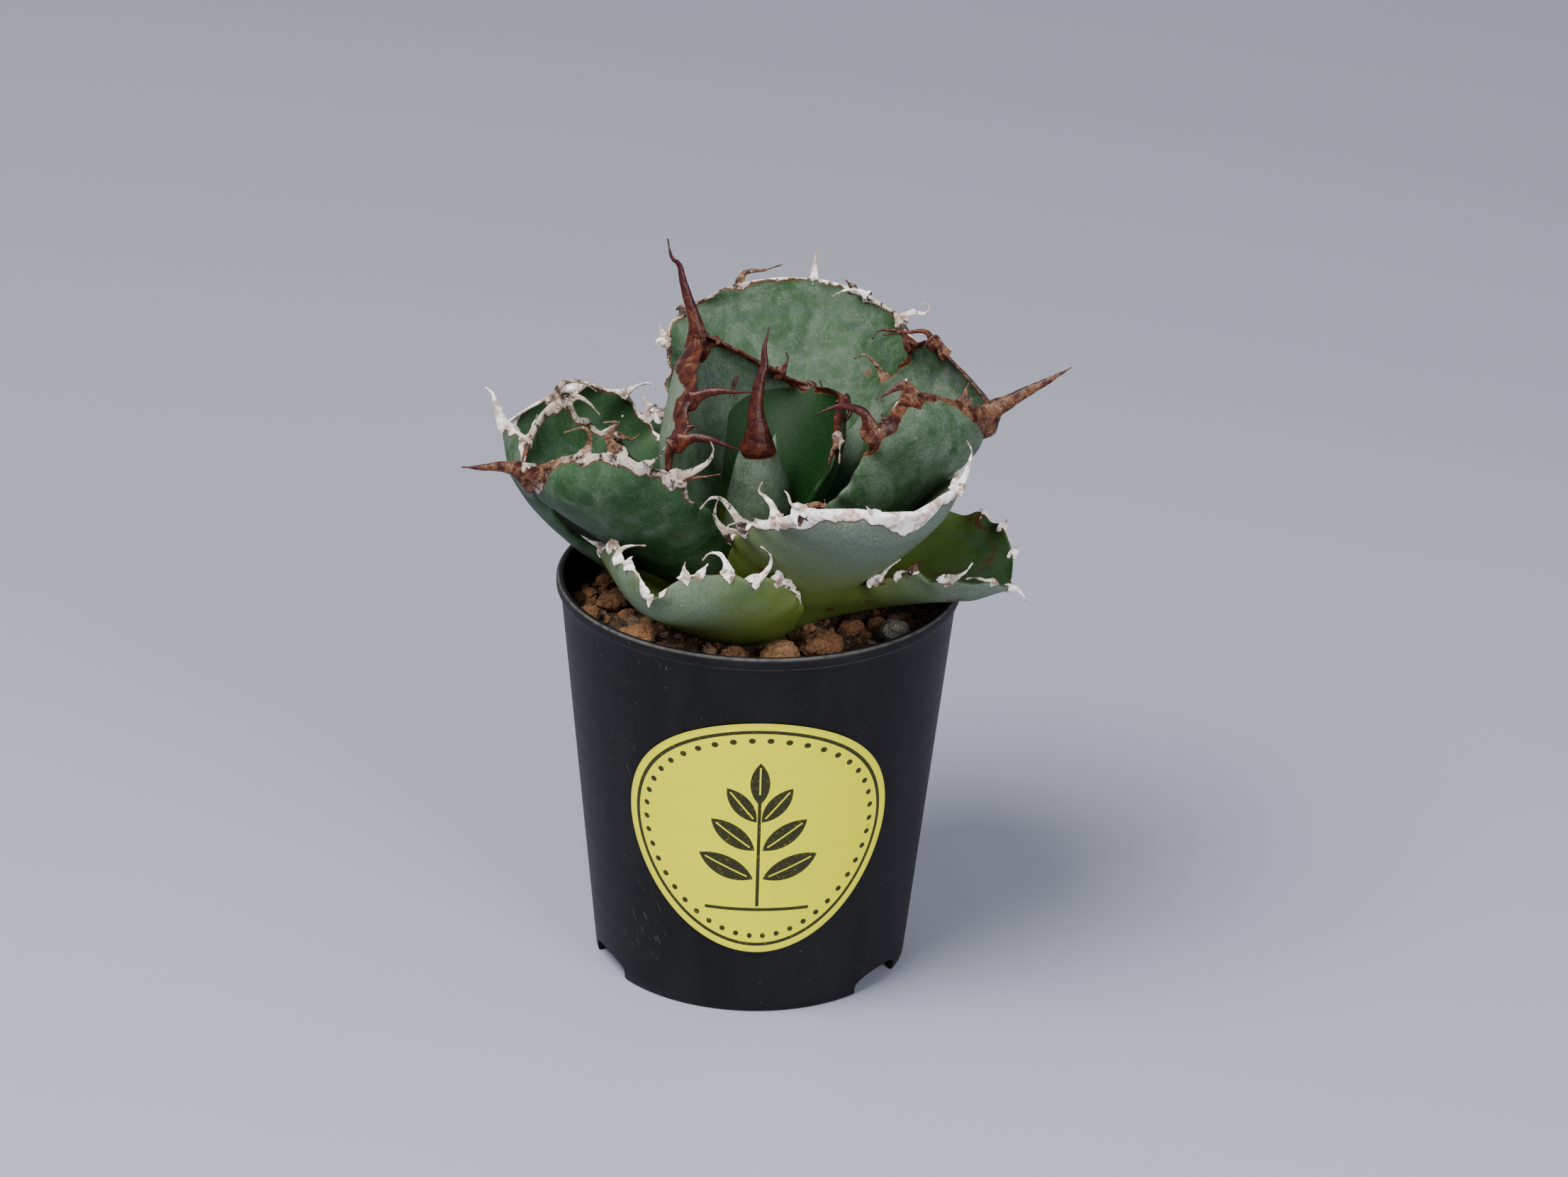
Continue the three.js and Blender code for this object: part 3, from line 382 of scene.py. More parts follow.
class Number:
    """A number socket. Python's operators on it add Math nodes to its tree."""

    def __init__(self, tree, socket):
        self.tree = tree
        self.socket = socket

    def math(self, operation, *terms, clamp=False):
        settings = {"operation": operation, "use_clamp": clamp}
        made = self.tree.node("ShaderNodeMath", settings, dict(enumerate(terms)))
        return Number(self.tree, made.outputs[0])

    def __add__(self, other):
        return self.math("ADD", self, other)

    __radd__ = __add__

    def __sub__(self, other):
        return self.math("SUBTRACT", self, other)

    def __rsub__(self, other):
        return self.math("SUBTRACT", other, self)

    def __mul__(self, other):
        return self.math("MULTIPLY", self, other)

    __rmul__ = __mul__

    def __abs__(self):
        return self.math("ABSOLUTE", self)

    def least(self, other):
        return self.math("MINIMUM", self, other)

    def most(self, other):
        return self.math("MAXIMUM", self, other)

    def part(self):
        return self.math("FRACT", self)

    def root(self):
        return self.math("SQRT", self)

    def held(self):
        """The number held between 0 and 1."""
        return self.math("ADD", self, 0.0, clamp=True)

    def fade(self, low, high):
        """0 at low, 1 at high, and smooth in between."""
        settings = {"interpolation_type": "SMOOTHSTEP"}
        sockets = {"Value": self, "From Min": low, "From Max": high}
        made = self.tree.node("ShaderNodeMapRange", settings, sockets)
        return Number(self.tree, made.outputs["Result"])


class Tree:
    """A node tree under construction."""

    def __init__(self, nodes_of):
        self.nodes = nodes_of.nodes
        self.links = nodes_of.links

    def plug(self, socket, value):
        if isinstance(value, Number):
            value = value.socket
        if isinstance(value, bpy.types.NodeSocket):
            self.links.new(value, socket)
        else:
            socket.default_value = value

    def node(self, kind, settings=None, sockets=None):
        """A new node: its settings are set first, then its sockets by name or index."""
        made = self.nodes.new(kind)
        for key, value in (settings or {}).items():
            if key == "stops":
                ramp_stops(made.color_ramp, value)
            else:
                setattr(made, key, value)
        for key, value in (sockets or {}).items():
            self.plug(made.inputs[key], value)
        return made

    def attribute(self, name):
        made = self.node("ShaderNodeAttribute", {"attribute_name": name})
        return Number(self, made.outputs["Fac"])

    def place(self):
        return self.node("ShaderNodeTexCoord").outputs["Object"]

    def split(self, vector):
        made = self.node("ShaderNodeSeparateXYZ", sockets={0: vector})
        return [Number(self, socket) for socket in made.outputs]

    def joined(self, x, y, z=0.0):
        return self.node("ShaderNodeCombineXYZ", sockets={0: x, 1: y, 2: z}).outputs[0]

    def scaled(self, vector, factors):
        made = self.node("ShaderNodeVectorMath", {"operation": "MULTIPLY"}, {0: vector, 1: factors})
        return made.outputs[0]

    def clouds(self, vector, size, detail=3.0, rough=0.55, warp=0.0):
        """Noise whose features are about size metres, or size units of the vector."""
        sockets = {
            "Vector": vector,
            "Scale": 1 / size,
            "Detail": detail,
            "Roughness": rough,
            "Distortion": warp,
        }
        return Number(self, self.node("ShaderNodeTexNoise", sockets=sockets).outputs[0])

    def cells(self, vector, size):
        """How far it is to the nearest of points about size metres apart, in sizes."""
        made = self.node("ShaderNodeTexVoronoi", sockets={"Vector": vector, "Scale": 1 / size})
        return Number(self, made.outputs["Distance"])

    def blend(self, factor, first, second, way="MIX"):
        """Two colours mixed."""
        settings = {"data_type": "RGBA", "blend_type": way}
        sockets = {0: factor, 6: first, 7: second}
        return self.node("ShaderNodeMix", settings, sockets).outputs[2]

    def ramp(self, factor, stops):
        return self.node("ShaderNodeValToRGB", {"stops": stops}, {0: factor}).outputs[0]

    def bump(self, height, depth):
        """A normal from a height, of which 1 stands for depth metres."""
        sockets = {"Height": height, "Distance": depth}
        return self.node("ShaderNodeBump", sockets=sockets).outputs[0]


def ramp_stops(ramp, stops):
    """Sets a colour ramp's stops from (position, colour) pairs."""
    while len(ramp.elements) < len(stops):
        ramp.elements.new(1.0)
    for element, (position, colour) in zip(ramp.elements, stops):
        element.position = position
        element.color = colour


def paint(red, green, blue):
    return (red, green, blue, 1.0)


def new_material(build):
    """A Principled material, named as the function that returns the shader's sockets."""
    made = bpy.data.materials.new(build.__name__)
    made.use_nodes = True
    made.node_tree.nodes.clear()
    tree = Tree(made.node_tree)
    shader = tree.node("ShaderNodeBsdfPrincipled", sockets=build(tree))
    tree.node("ShaderNodeOutputMaterial", sockets={"Surface": shader.outputs[0]})
    return made


def colour_setting(name, description, default):
    return bpy.props.FloatVectorProperty(
        name=name, description=description, subtype="COLOR", default=default, min=0, max=1
    )


def share_setting(name, description, default):
    return bpy.props.FloatProperty(name=name, description=description, default=default, min=0, max=1)


def count_setting(name, description, default, low=0, high=2**31 - 1):
    return bpy.props.IntProperty(name=name, description=description, default=default, min=low, max=high)


# ---- materials ---------------------------------------------------------------------------


def pot_plastic(tree):
    """Black plastic: smeared, flecked and scratched, with dust and a painted highlight on the rim's lip,
    and a thin pale line under its bead.
    """
    look = bpy.context.scene.agave_pot
    place = tree.place()
    x, y, z = tree.split(place)
    radius = (x * x + y * y).root()
    streaks = tree.clouds(tree.scaled(place, (0.25, 0.25, 1.0)), 0.0011, 2.0)
    smears = tree.clouds(tree.scaled(place, (1.0, 1.0, 0.35)), 0.011, 4.0, warp=0.6)
    fleck = 1 - tree.cells(place, 0.0016).fade(0.06, 0.13)
    fleck = fleck * tree.clouds(place, 0.009).fade(0.55, 0.66)
    slant = tree.joined(x * 0.9 + z * 0.35, y * 0.9 - z * 0.2, z * 0.06)
    scratch = tree.clouds(slant, 0.00022, 1.0).fade(0.70, 0.745)
    scratch = scratch * tree.clouds(place, 0.014).fade(0.52, 0.62)
    top = POT_TOP * MM
    patchy = tree.clouds(place, 0.0018, 4.0).fade(0.3, 0.65)
    dust = patchy * 0.6 + 0.4
    lip = 1 - abs(radius - (RIM_RADIUS - 0.3) * MM).fade(0.0001, 0.0003)
    rim_dust_and_highlight = lip * z.fade(top - 0.0009, top - 0.0004) * dust
    under_bead = (1 - abs(z - NECK * MM + 0.0002).fade(0.0001, 0.0004)) * dust
    colour = tree.blend(smears.fade(0.3, 0.7) * 0.6, paint(*look.colour), paint(0.0095, 0.0096, 0.0110))
    colour = tree.blend((fleck * 0.5 + scratch * 0.6).held(), colour, paint(0.12, 0.115, 0.11))
    # Pale grey: dust and a painted highlight on the rim's lip, and a thin pale line under the bead.
    colour = tree.blend((rim_dust_and_highlight * 0.28 + under_bead * 0.16).held(), colour, paint(0.2, 0.19, 0.18))
    waves = tree.clouds(tree.scaled(place, (0.12, 0.12, 1.0)), 0.0042, 1.0)
    return {
        "Base Color": colour,
        "Roughness": smears * 0.12 + streaks * 0.08 + rim_dust_and_highlight * 0.25 + look.roughness,
        "Specular IOR Level": 0.16,
        "Normal": tree.bump(waves * 0.75 + streaks * 0.08 - scratch * 0.2, 0.00022),
    }


def label_print(tree):
    """Yellow film with a dotted border and a plain sprig. Lengths are in millimetres."""
    look = bpy.context.scene.agave_label
    print_map = tree.node("ShaderNodeUVMap", {"uv_map": "print"}).outputs[0]
    across, along, _ = tree.split(print_map)
    share = tree.attribute("share")
    turn = tree.attribute("turn")
    x = abs(across)
    line = look.line / MM
    disc = 24  # about what a share of 1 stands for
    dot_count, dot_spacing = 44, 8.5**0.5

    def within(distance, half):
        return 1 - distance.fade(half - 0.03, half + 0.03)

    ring = within(abs(share - 0.93) * disc, line * 0.5)
    dot_along = ((turn * dot_count).part() - 0.5) * dot_spacing
    dot_across = (share - 0.855) * disc
    dots = within((dot_along * dot_along + dot_across * dot_across).root(), 0.55)

    def almond(low, size, lean):
        """A pointed leaf on a stalk, leaning out from the stem at (0, low)."""
        c, s = math.cos(math.radians(lean)), math.sin(math.radians(lean))
        up = along - low
        length = up * c + x * s - size / 2
        side = abs(x * c - up * s)
        reach = size * 0.62
        offset = reach - size * 0.17
        far = side + offset
        blade = within((length * length + far * far).root(), reach)
        vein = within(side, line * 0.2) * within(abs(length), size * 0.33)
        return blade - blade.least(vein)

    sprig = within(x, line * 0.45) * within(abs(along + 2.5), 12.0)
    for low, size, lean in [(-9, 13, 64), (-3, 12, 52), (3, 10.5, 38)]:
        sprig = sprig.most(almond(low, size, lean))
    sprig = sprig.most(almond(6.5, 10.5, 0))
    ground = within(abs(along + 15.2), line * 0.5) * within(x, 9.5)
    ink = ring.most(dots).most(sprig).most(ground)
    place = tree.place()
    worn = tree.clouds(place, 0.0005, 3.0).fade(0.3, 0.42)
    ink = ink * (worn * 0.12 + 0.86)
    tone = tree.clouds(place, 0.016, 3.0)
    colour = tree.blend(tone * 0.45, paint(*look.colour), paint(0.64, 0.60, 0.002))
    grime = tree.clouds(place, 0.0024, 5.0).fade(0.62, 0.75) * 0.14
    # The smudges are grime; the darkening at the film's very edge is a painted shadow.
    colour = tree.blend(grime + share.fade(0.97, 1.0) * 0.25, colour, paint(0.35, 0.30, 0.06))
    colour = tree.blend(ink, colour, paint(*look.ink))
    waves = tree.clouds(tree.scaled(place, (0.12, 0.12, 1.0)), 0.0045, 1.0)
    pores = tree.clouds(place, 0.0004, 2.0)
    return {
        "Base Color": colour,
        "Roughness": tone * 0.1 + 0.42 - ink * 0.05,
        "Specular IOR Level": 0.15,
        "Normal": tree.bump(waves + pores * 0.05, 0.00012),
    }


def soil_mix(tree):
    """Fine dark crumbs with paler patches, and painted shade in the gaps between the crumbs."""
    place = tree.place()
    crumbs = tree.cells(place, 0.0011)
    tone = tree.clouds(place, 0.0014, 5.0, 0.65)
    patches = tree.clouds(place, 0.006, 3.0)
    dark = tree.blend(tone, paint(0.020, 0.011, 0.006), paint(0.11, 0.055, 0.024))
    colour = tree.blend(patches.fade(0.45, 0.6) * 0.5, dark, paint(0.20, 0.11, 0.05))
    # Painted shade: the gaps between crumbs, which the bump sinks, are darkened.
    colour = tree.blend(crumbs.fade(0.35, 0.7) * 0.6, colour, paint(0.015, 0.009, 0.005))
    return {
        "Base Color": colour,
        "Roughness": 0.95,
        "Normal": tree.bump(tone - crumbs * 0.6, 0.0006),
    }


# Ramp stops: (position, colour). Shades darken and lighten the colours in patches.
GRANULE_SHADES = [
    (0.34, paint(0.36, 0.31, 0.28)),
    (0.5, paint(0.85, 0.85, 0.85)),
    (0.64, paint(1.35, 1.3, 1.2)),
]
GRANULE_COLOURS = [
    (0.0, paint(0.036, 0.020, 0.011)),
    (0.14, paint(0.10, 0.050, 0.024)),
    (0.35, paint(0.25, 0.112, 0.046)),
    (0.82, paint(0.42, 0.215, 0.098)),
    (0.93, paint(0.24, 0.205, 0.165)),
    (1.0, paint(0.36, 0.335, 0.30)),
]


def granule_stone(tree):
    """Clay granules, pumice and perlite, told apart by the attribute tone."""
    place = tree.place()
    grain = tree.clouds(place, 0.00045, 4.0, 0.7)
    patches = tree.clouds(place, 0.0021, 4.0, 0.6)
    pits = tree.cells(place, 0.00062)
    body = tree.ramp(tree.attribute("tone"), GRANULE_COLOURS)
    shade = tree.ramp(patches * 0.55 + grain * 0.45, GRANULE_SHADES)
    shaded = tree.blend(1.0, body, shade, "MULTIPLY")
    # Painted shade: the pits, which the bump sinks, are darkened.
    pit = 1 - pits.fade(0.10, 0.32)
    colour = tree.blend(pit * 0.5, shaded, paint(0.05, 0.028, 0.015))
    height = grain * 0.6 + patches * 0.6 - pit * 0.55
    return {"Base Color": colour, "Roughness": 0.93, "Normal": tree.bump(height, 0.0013)}


def stem_tissue(tree):
    """Pale upright fibres, browned in places."""
    place = tree.place()
    fibres = tree.clouds(tree.scaled(place, (1.0, 1.0, 0.08)), 0.0006, 3.0)
    age = tree.clouds(place, 0.005, 3.0)
    colour = tree.blend(fibres, paint(0.20, 0.22, 0.06), paint(0.42, 0.40, 0.16))
    colour = tree.blend(age.fade(0.45, 0.65), colour, paint(0.22, 0.13, 0.05))
    return {"Base Color": colour, "Roughness": 0.65, "Normal": tree.bump(fibres, 0.0003)}


def blade_colour(tree, place, span, across, outer, rim):
    """The leaf's skin: deep green under a cloudy pale wax, yellow-green at the foot."""
    look = bpy.context.scene.agave_leaves
    wax = tree.attribute("wax")
    sun = tree.attribute("sun")
    tint = tree.attribute("tint")
    along = tree.joined(across, span, tint * 37.0)
    clouds = tree.clouds(place, 0.0095, 6.0, 0.66, 0.9)
    patches = tree.clouds(place, 0.0036, 5.0, 0.68)
    speckle = tree.clouds(place, 0.00034, 2.0, 0.7)
    strands = tree.clouds(tree.scaled(along, (9.0, 1.3, 1.0)), 1.0, 3.0, 0.5, 0.4)
    body = tree.blend(clouds.fade(0.35, 0.65), paint(*look.deep), paint(0.029, 0.067, 0.029))
    inner = 1 - outer
    # Young inner faces are darker: partly their own bare green, partly painted shade from the leaves
    # crowding round them.
    tender_and_shaded = (1 - tint.fade(0.0, 0.15)) * inner
    grown_inner = inner * (1 - tender_and_shaded)
    body = tree.blend(tender_and_shaded, body, paint(0.003, 0.023, 0.003))
    foot = 1 - (span + patches * 0.2 - 0.1).fade(sun * 0.35, sun)
    body = tree.blend(foot * (outer * 0.3 + 0.6), body, paint(*look.foot))
    film = clouds * 0.45 + patches * 0.4 + strands * 0.15
    bloom = (film + wax - 0.5).fade(0.32, 0.66) * (1 - foot * 0.8) * (span.fade(0.2, 0.7) * 0.5 + 0.5)
    bloom = bloom * (speckle.fade(0.36, 0.58) * 0.45 + 0.55)
    colour = tree.blend(bloom * look.bloom, body, paint(*look.wax))
    grains = speckle.fade(0.60, 0.70) * patches.fade(0.3, 0.6) * (wax * 0.5 + 0.25)
    colour = tree.blend(grains * 0.5, colour, paint(0.34, 0.41, 0.33))
    crease = abs(rim + 5.5 + (strands - 0.5) * 3.0)
    mark = (1 - crease.fade(0.0, 0.9)) * grown_inner * span.fade(0.5, 0.7) * 0.3
    colour = tree.blend(mark, colour, paint(0.030, 0.060, 0.060))
    lines = tree.clouds(tree.scaled(along, (26.0, 1.1, 1.0)), 1.0, 2.0).fade(0.56, 0.7)
    centre = 1 - abs(across).fade(0.05, 0.4)
    streak = lines * centre * span.fade(0.66, 0.8) * grown_inner * 0.85
    colour = tree.blend(streak, colour, paint(0.028, 0.052, 0.070))
    scar = (1 - tree.cells(place, 0.017).fade(0.045, 0.06)) * tree.attribute("blemish")
    colour = tree.blend(scar, colour, paint(0.13, 0.045, 0.012))
    sore = tree.clouds(place, 0.0048, 3.0).fade(0.60, 0.66) * tree.attribute("decay")
    colour = tree.blend(sore * 0.85, colour, paint(0.075, 0.026, 0.010))
    return colour, speckle, bloom


def horn_colour(tree, place):
    """The horn: red-brown and shiny when fresh, mottled later, and papery white when old."""
    age = tree.attribute("age")
    reach = tree.attribute("reach")
    mottle = tree.clouds(place, 0.0021, 5.0, 0.65, 0.5)
    grain = tree.clouds(place, 0.0006, 4.0, 0.7)
    fresh = tree.blend(mottle.fade(0.35, 0.65), paint(0.018, 0.004, 0.005), paint(0.070, 0.017, 0.007))
    fresh = tree.blend(reach.fade(0.15, 0.8) * 0.75, fresh, paint(0.028, 0.005, 0.007))
    brown = tree.blend(mottle.fade(0.4, 0.55), paint(0.018, 0.008, 0.006), paint(0.105, 0.046, 0.022))
    # The pale flecks on brown horn are partly its cream mottle and partly a painted highlight.
    brown = tree.blend(grain.fade(0.54, 0.66) * 0.35, brown, paint(0.46, 0.36, 0.26))
    # The pinkish-grey mottle on the pale horn is partly its own tone and partly painted shade.
    pale = tree.blend(mottle.fade(0.42, 0.62), paint(0.80, 0.765, 0.72), paint(0.36, 0.27, 0.215))
    root = reach.fade(0.0, 0.05) * (1 - reach.fade(0.12, 0.4))
    stain = (reach.fade(0.5, 1.0) * 0.7 + root * 0.8) * mottle.fade(0.40, 0.56)
    pale = tree.blend(stain, pale, paint(0.15, 0.072, 0.040))
    speck = (1 - tree.cells(place, 0.00062).fade(0.14, 0.24)) * grain.fade(0.45, 0.56)
    pale = tree.blend(speck * 0.65, pale, paint(0.06, 0.036, 0.028))
    shift = age + (mottle - 0.5) * 0.9
    colour = tree.blend(shift.fade(0.2, 0.42), fresh, brown)
    colour = tree.blend(shift.fade(0.5, 0.7), colour, pale)
    rough = shift.fade(0.2, 0.7) * 0.4 + 0.30
    return colour, rough, grain * 0.5 + mottle * 0.8 - speck * 0.5


def leaf_blade(tree):
    """Leaf skin, and horn wherever the attribute rim is above 0."""
    place = tree.place()
    span, across, outer, rim = map(tree.attribute, ("span", "across", "outer", "rim"))
    ragged = rim + (tree.clouds(place, 0.0012, 4.0, 0.6) - 0.5) * 0.9
    is_horn = ragged.fade(-0.04, 0.04)
    skin, speckle, bloom = blade_colour(tree, place, span, across, outer, rim)
    horn, horn_rough, horn_height = horn_colour(tree, place)
    edging = (1 - abs(ragged + 0.08).fade(0.05, 0.26)) * 0.85
    skin = tree.blend(edging * (1 - is_horn), skin, paint(0.10, 0.036, 0.014))
    height = is_horn * (horn_height * 0.45 + 0.5) + speckle * 0.12 * (1 - is_horn)
    skin_rough = bloom * 0.12 + speckle * 0.08 + 0.53
    return {
        "Base Color": tree.blend(is_horn, skin, horn),
        "Roughness": is_horn * horn_rough + (1 - is_horn) * skin_rough,
        "Specular IOR Level": 0.17,
        "Normal": tree.bump(height, 0.00022),
    }


def floor_board(tree):
    """A plain pale floor, with painted shade making it a little darker towards the back."""
    look = bpy.context.scene.agave_stage
    place = tree.place()
    haze = tree.clouds(place, 0.22, 3.0)
    # Painted shade: the floor darkens towards the back.
    far = tree.split(place)[1].fade(-0.3, 0.4)
    near = tree.blend(haze * 0.3, paint(*look.floor), paint(0.32, 0.328, 0.40))
    return {
        "Base Color": tree.blend(far, near, paint(0.242, 0.243, 0.300)),
        "Roughness": tree.clouds(place, 0.05, 3.0) * 0.1 + 0.48,
    }


# ---- mesh helpers ------------------------------------------------------------------------


def mix(first, second, share):
    return first + (second - first) * share


def smooth(value, low, high):
    share = np.clip((value - low) / (high - low), 0, 1)
    return share * share * (3 - 2 * share)


def unit(vectors):
    return vectors / np.linalg.norm(vectors, axis=-1, keepdims=True)


def heading(azimuth):
    angle = np.radians(azimuth)
    return np.stack([np.cos(angle), np.sin(angle), np.zeros_like(angle)], -1)


def turned_way(ahead, up, aside, lift, turn):
    """The way ahead lifted towards up and then turned aside, in degrees."""
    lift, turn = math.radians(lift), math.radians(turn)
    lifted = ahead * math.cos(lift) + up * math.sin(lift)
    return lifted * math.cos(turn) + aside * math.sin(turn)


def rough_values(points, size, seed):
    """Smooth noise between about -1 and 1 at each point."""
    shift = Vector((seed * 13.7, seed * -7.1, seed * 3.3))
    return np.array([noise.noise(Vector(p) / size + shift) for p in points])


def new_mesh(name, points, faces):
    """A smooth mesh from points in millimetres."""
    mesh = bpy.data.meshes.new(name)
    mesh.from_pydata((np.asarray(points) * MM).tolist(), [], faces)
    mesh.polygons.foreach_set("use_smooth", [True] * len(mesh.polygons))
    mesh.update()
    return mesh


def set_attribute(mesh, name, values):
    made = mesh.attributes.new(name, "FLOAT", "POINT")
    made.data.foreach_set("value", np.asarray(values, np.float32))


def vertex_vectors(mesh, key):
    """The place (co) or normal of each vertex, as rows."""
    values = np.zeros(len(mesh.vertices) * 3)
    mesh.vertices.foreach_get(key, values)
    return values.reshape(-1, 3)


def vertex_faces(mesh):
    return [tuple(face.vertices) for face in mesh.polygons]


def linked(name, data):
    made = bpy.data.objects.new(name, data)
    bpy.context.scene.collection.objects.link(made)
    return made


def new_piece(name, mesh, material, nodes):
    """Links a finished mesh as a piece that stands for CAD nodes and rides on the body."""
    made = linked(name, mesh)
    mesh.materials.clear()
    mesh.materials.append(material)
    if nodes:
        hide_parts(*nodes)
    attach(made, BODY)


def applied(scratch):
    """The scratch object's mesh with its modifiers applied; the object is removed."""
    bpy.context.view_layer.update()
    graph = bpy.context.evaluated_depsgraph_get()
    made = bpy.data.meshes.new_from_object(scratch.evaluated_get(graph))
    old = scratch.data
    bpy.data.objects.remove(scratch)
    bpy.data.meshes.remove(old)
    return made


def ring_faces(rings, count, close_ends=True):
    """Quads through closed rings of points, and a face on each end ring with close_ends."""
    faces = []
    for i in range(rings - 1):
        here, there = i * count, (i + 1) * count
        for j in range(count):
            k = (j + 1) % count
            faces.append((here + j, here + k, there + k, there + j))
    if close_ends:
        last = (rings - 1) * count
        faces.append(tuple(range(count - 1, -1, -1)))
        faces.append(tuple(range(last, last + count)))
    return faces


def revolved(profile, sides):
    """Points and faces of a closed solid of revolution from (radius, height) off the axis."""
    angles = np.arange(sides) * 2 * math.pi / sides
    circle = np.stack([np.cos(angles), np.sin(angles), np.zeros(sides)], -1)
    rings = [circle * radius + UP * height for radius, height in profile]
    return np.concatenate(rings), ring_faces(len(profile), sides)


# ---- pot ---------------------------------------------------------------------------------


def wall_radius(height):
    return FOOT_RADIUS + (NECK_RADIUS - FOOT_RADIUS) * height / NECK


def arc_profile(centre, radius, start, end, steps):
    angles = np.radians(np.linspace(start, end, steps))
    return [(centre[0] + radius * math.cos(a), centre[1] + radius * math.sin(a)) for a in angles]


def pot_profile():
    """The closed section of the pot, from the underside's middle round to the floor's middle."""
    mouth = wall_radius(NECK) - WALL
    crown = RIM_RADIUS - BEAD_ROUNDING
    outer = [(wall_radius(z), z) for z in np.linspace(0.35, NECK - 0.3, 40)]
    inner = [(wall_radius(z) - WALL, z) for z in np.linspace(NECK, FLOOR_HIGH + 1, 30)]
    inside_foot = [(wall_radius(z) - WALL, z) for z in np.linspace(FLOOR_LOW - 0.4, 0.3, 6)]
    return [
        (PINHOLE, FLOOR_LOW),
        (wall_radius(0) * 0.5, FLOOR_LOW),
        (wall_radius(FLOOR_LOW) - WALL - 0.4, FLOOR_LOW),
        *inside_foot,
        (wall_radius(0) - WALL + 0.25, 0),
        (wall_radius(0) - 0.3, 0),
        *outer,
        (wall_radius(NECK) + 0.12, NECK - 0.05),
        *arc_profile((crown, NECK + 0.65), BEAD_ROUNDING, -70, 0, 6),
        *arc_profile((crown, POT_TOP - BEAD_ROUNDING), BEAD_ROUNDING, 0, 90, 8),
        *arc_profile((crown - 0.15, POT_TOP - LIP_ROUNDING), LIP_ROUNDING, 90, 170, 6),
        (mouth + 0.3, POT_TOP - 1.2),
        *inner,
        *arc_profile((wall_radius(FLOOR_HIGH) - WALL - 1, FLOOR_HIGH + 1), 1, -10, -80, 6),
        (15.0, FLOOR_HIGH),
        (PINHOLE, FLOOR_HIGH),
    ]


def arch_cutter(azimuth, half_span, height):
    """A bar with a rounded top that crosses the foot ring."""
    angles = np.linspace(0, math.pi, 18)
    spring = height * 0.45
    outline = [(-half_span, -0.5), (half_span, -0.5)]
    outline += [(half_span * math.cos(a), spring + (height - spring) * math.sin(a)) for a in angles]
    out, aside = heading(azimuth), heading(azimuth + 90)
    rings = [
        [out * reach + aside * x + UP * z for x, z in outline]
        for reach in (FOOT_RADIUS - 6, FOOT_RADIUS + 6)
    ]
    return np.concatenate(rings), ring_faces(2, len(outline))


def drill_cutter(azimuth, distance, radius):
    points, faces = revolved([(radius, FLOOR_LOW - 2), (radius, FLOOR_HIGH + 2)], HOLE_SIDES)
    return points + heading(azimuth) * distance, faces


def merged(parts):
    """Several (points, faces) as one."""
    points, faces, start = [], [], 0
    for some, theirs in parts:
        points.append(some)
        faces += [tuple(start + i for i in face) for face in theirs]
        start += len(some)
    return np.concatenate(points), faces


class AGAVE_PG_pot(bpy.types.PropertyGroup):
    colour: colour_setting("Plastic colour", "Base colour of the moulded pot", (0.0028, 0.0029, 0.0037))
    roughness: share_setting("Plastic roughness", "How dull the pot's skin is", 0.4)
    foot_gaps: count_setting("Foot gaps", "Number of arched gaps in the foot ring", 3, 1, 8)
    first_gap: bpy.props.FloatProperty(
        name="First foot gap",
        description="Azimuth of the first gap in the foot ring",
        subtype="ANGLE",
        default=math.radians(85),
    )
    side_holes: count_setting("Side drain holes", "Number of drain holes round the middle one", 6, 0, 12)


class AGAVE_OT_pot(bpy.types.Operator):
    """Build the nursery pot with its rim bead, foot gaps and drain holes"""

    bl_idname = "agave.pot"
    bl_label = "Nursery Pot"

    def execute(self, context):
        look = context.scene.agave_pot
        pot = linked("pot", new_mesh("pot", *revolved(pot_profile(), POT_SIDES)))
        gaps, holes = look.foot_gaps, look.side_holes
        first = math.degrees(look.first_gap)
        half_span = FOOT_RADIUS * math.sin(math.radians(GAP_HALF_ANGLE))
        cuts = [arch_cutter(first + i * 360 / gaps, half_span, GAP_HEIGHT) for i in range(gaps)]
        cuts.append(drill_cutter(0, 0, MIDDLE_HOLE))
        cuts += [drill_cutter(i * 360 / holes, SIDE_HOLE_RING, SIDE_HOLE) for i in range(holes)]
        cutter = linked("cuts", new_mesh("cuts", *merged(cuts)))
        cut = pot.modifiers.new("cut", "BOOLEAN")
        cut.operation = "DIFFERENCE"
        cut.solver = "EXACT"
        cut.object = cutter
        mesh = applied(pot)
        bpy.data.objects.remove(cutter)
        mesh.polygons.foreach_set("use_smooth", [True] * len(mesh.polygons))
        mesh.set_sharp_from_angle(angle=math.radians(42))
        plastic = new_material(pot_plastic)
        new_piece("pot_moulding", mesh, plastic, ["nursery_pot"])
        return {"FINISHED"}


# ---- label -------------------------------------------------------------------------------


class AGAVE_PG_label(bpy.types.PropertyGroup):
    colour: colour_setting("Label colour", "Ground colour of the sticker", (0.72, 0.69, 0.002))
    ink: colour_setting("Ink colour", "Colour of the printed sprig and border", (0.012, 0.013, 0.010))
    line: bpy.props.FloatProperty(
        name="Line width",
        description="Width of the printed lines",
        unit="LENGTH",
        default=0.0007,
        min=0.0001,
        max=0.002,
    )


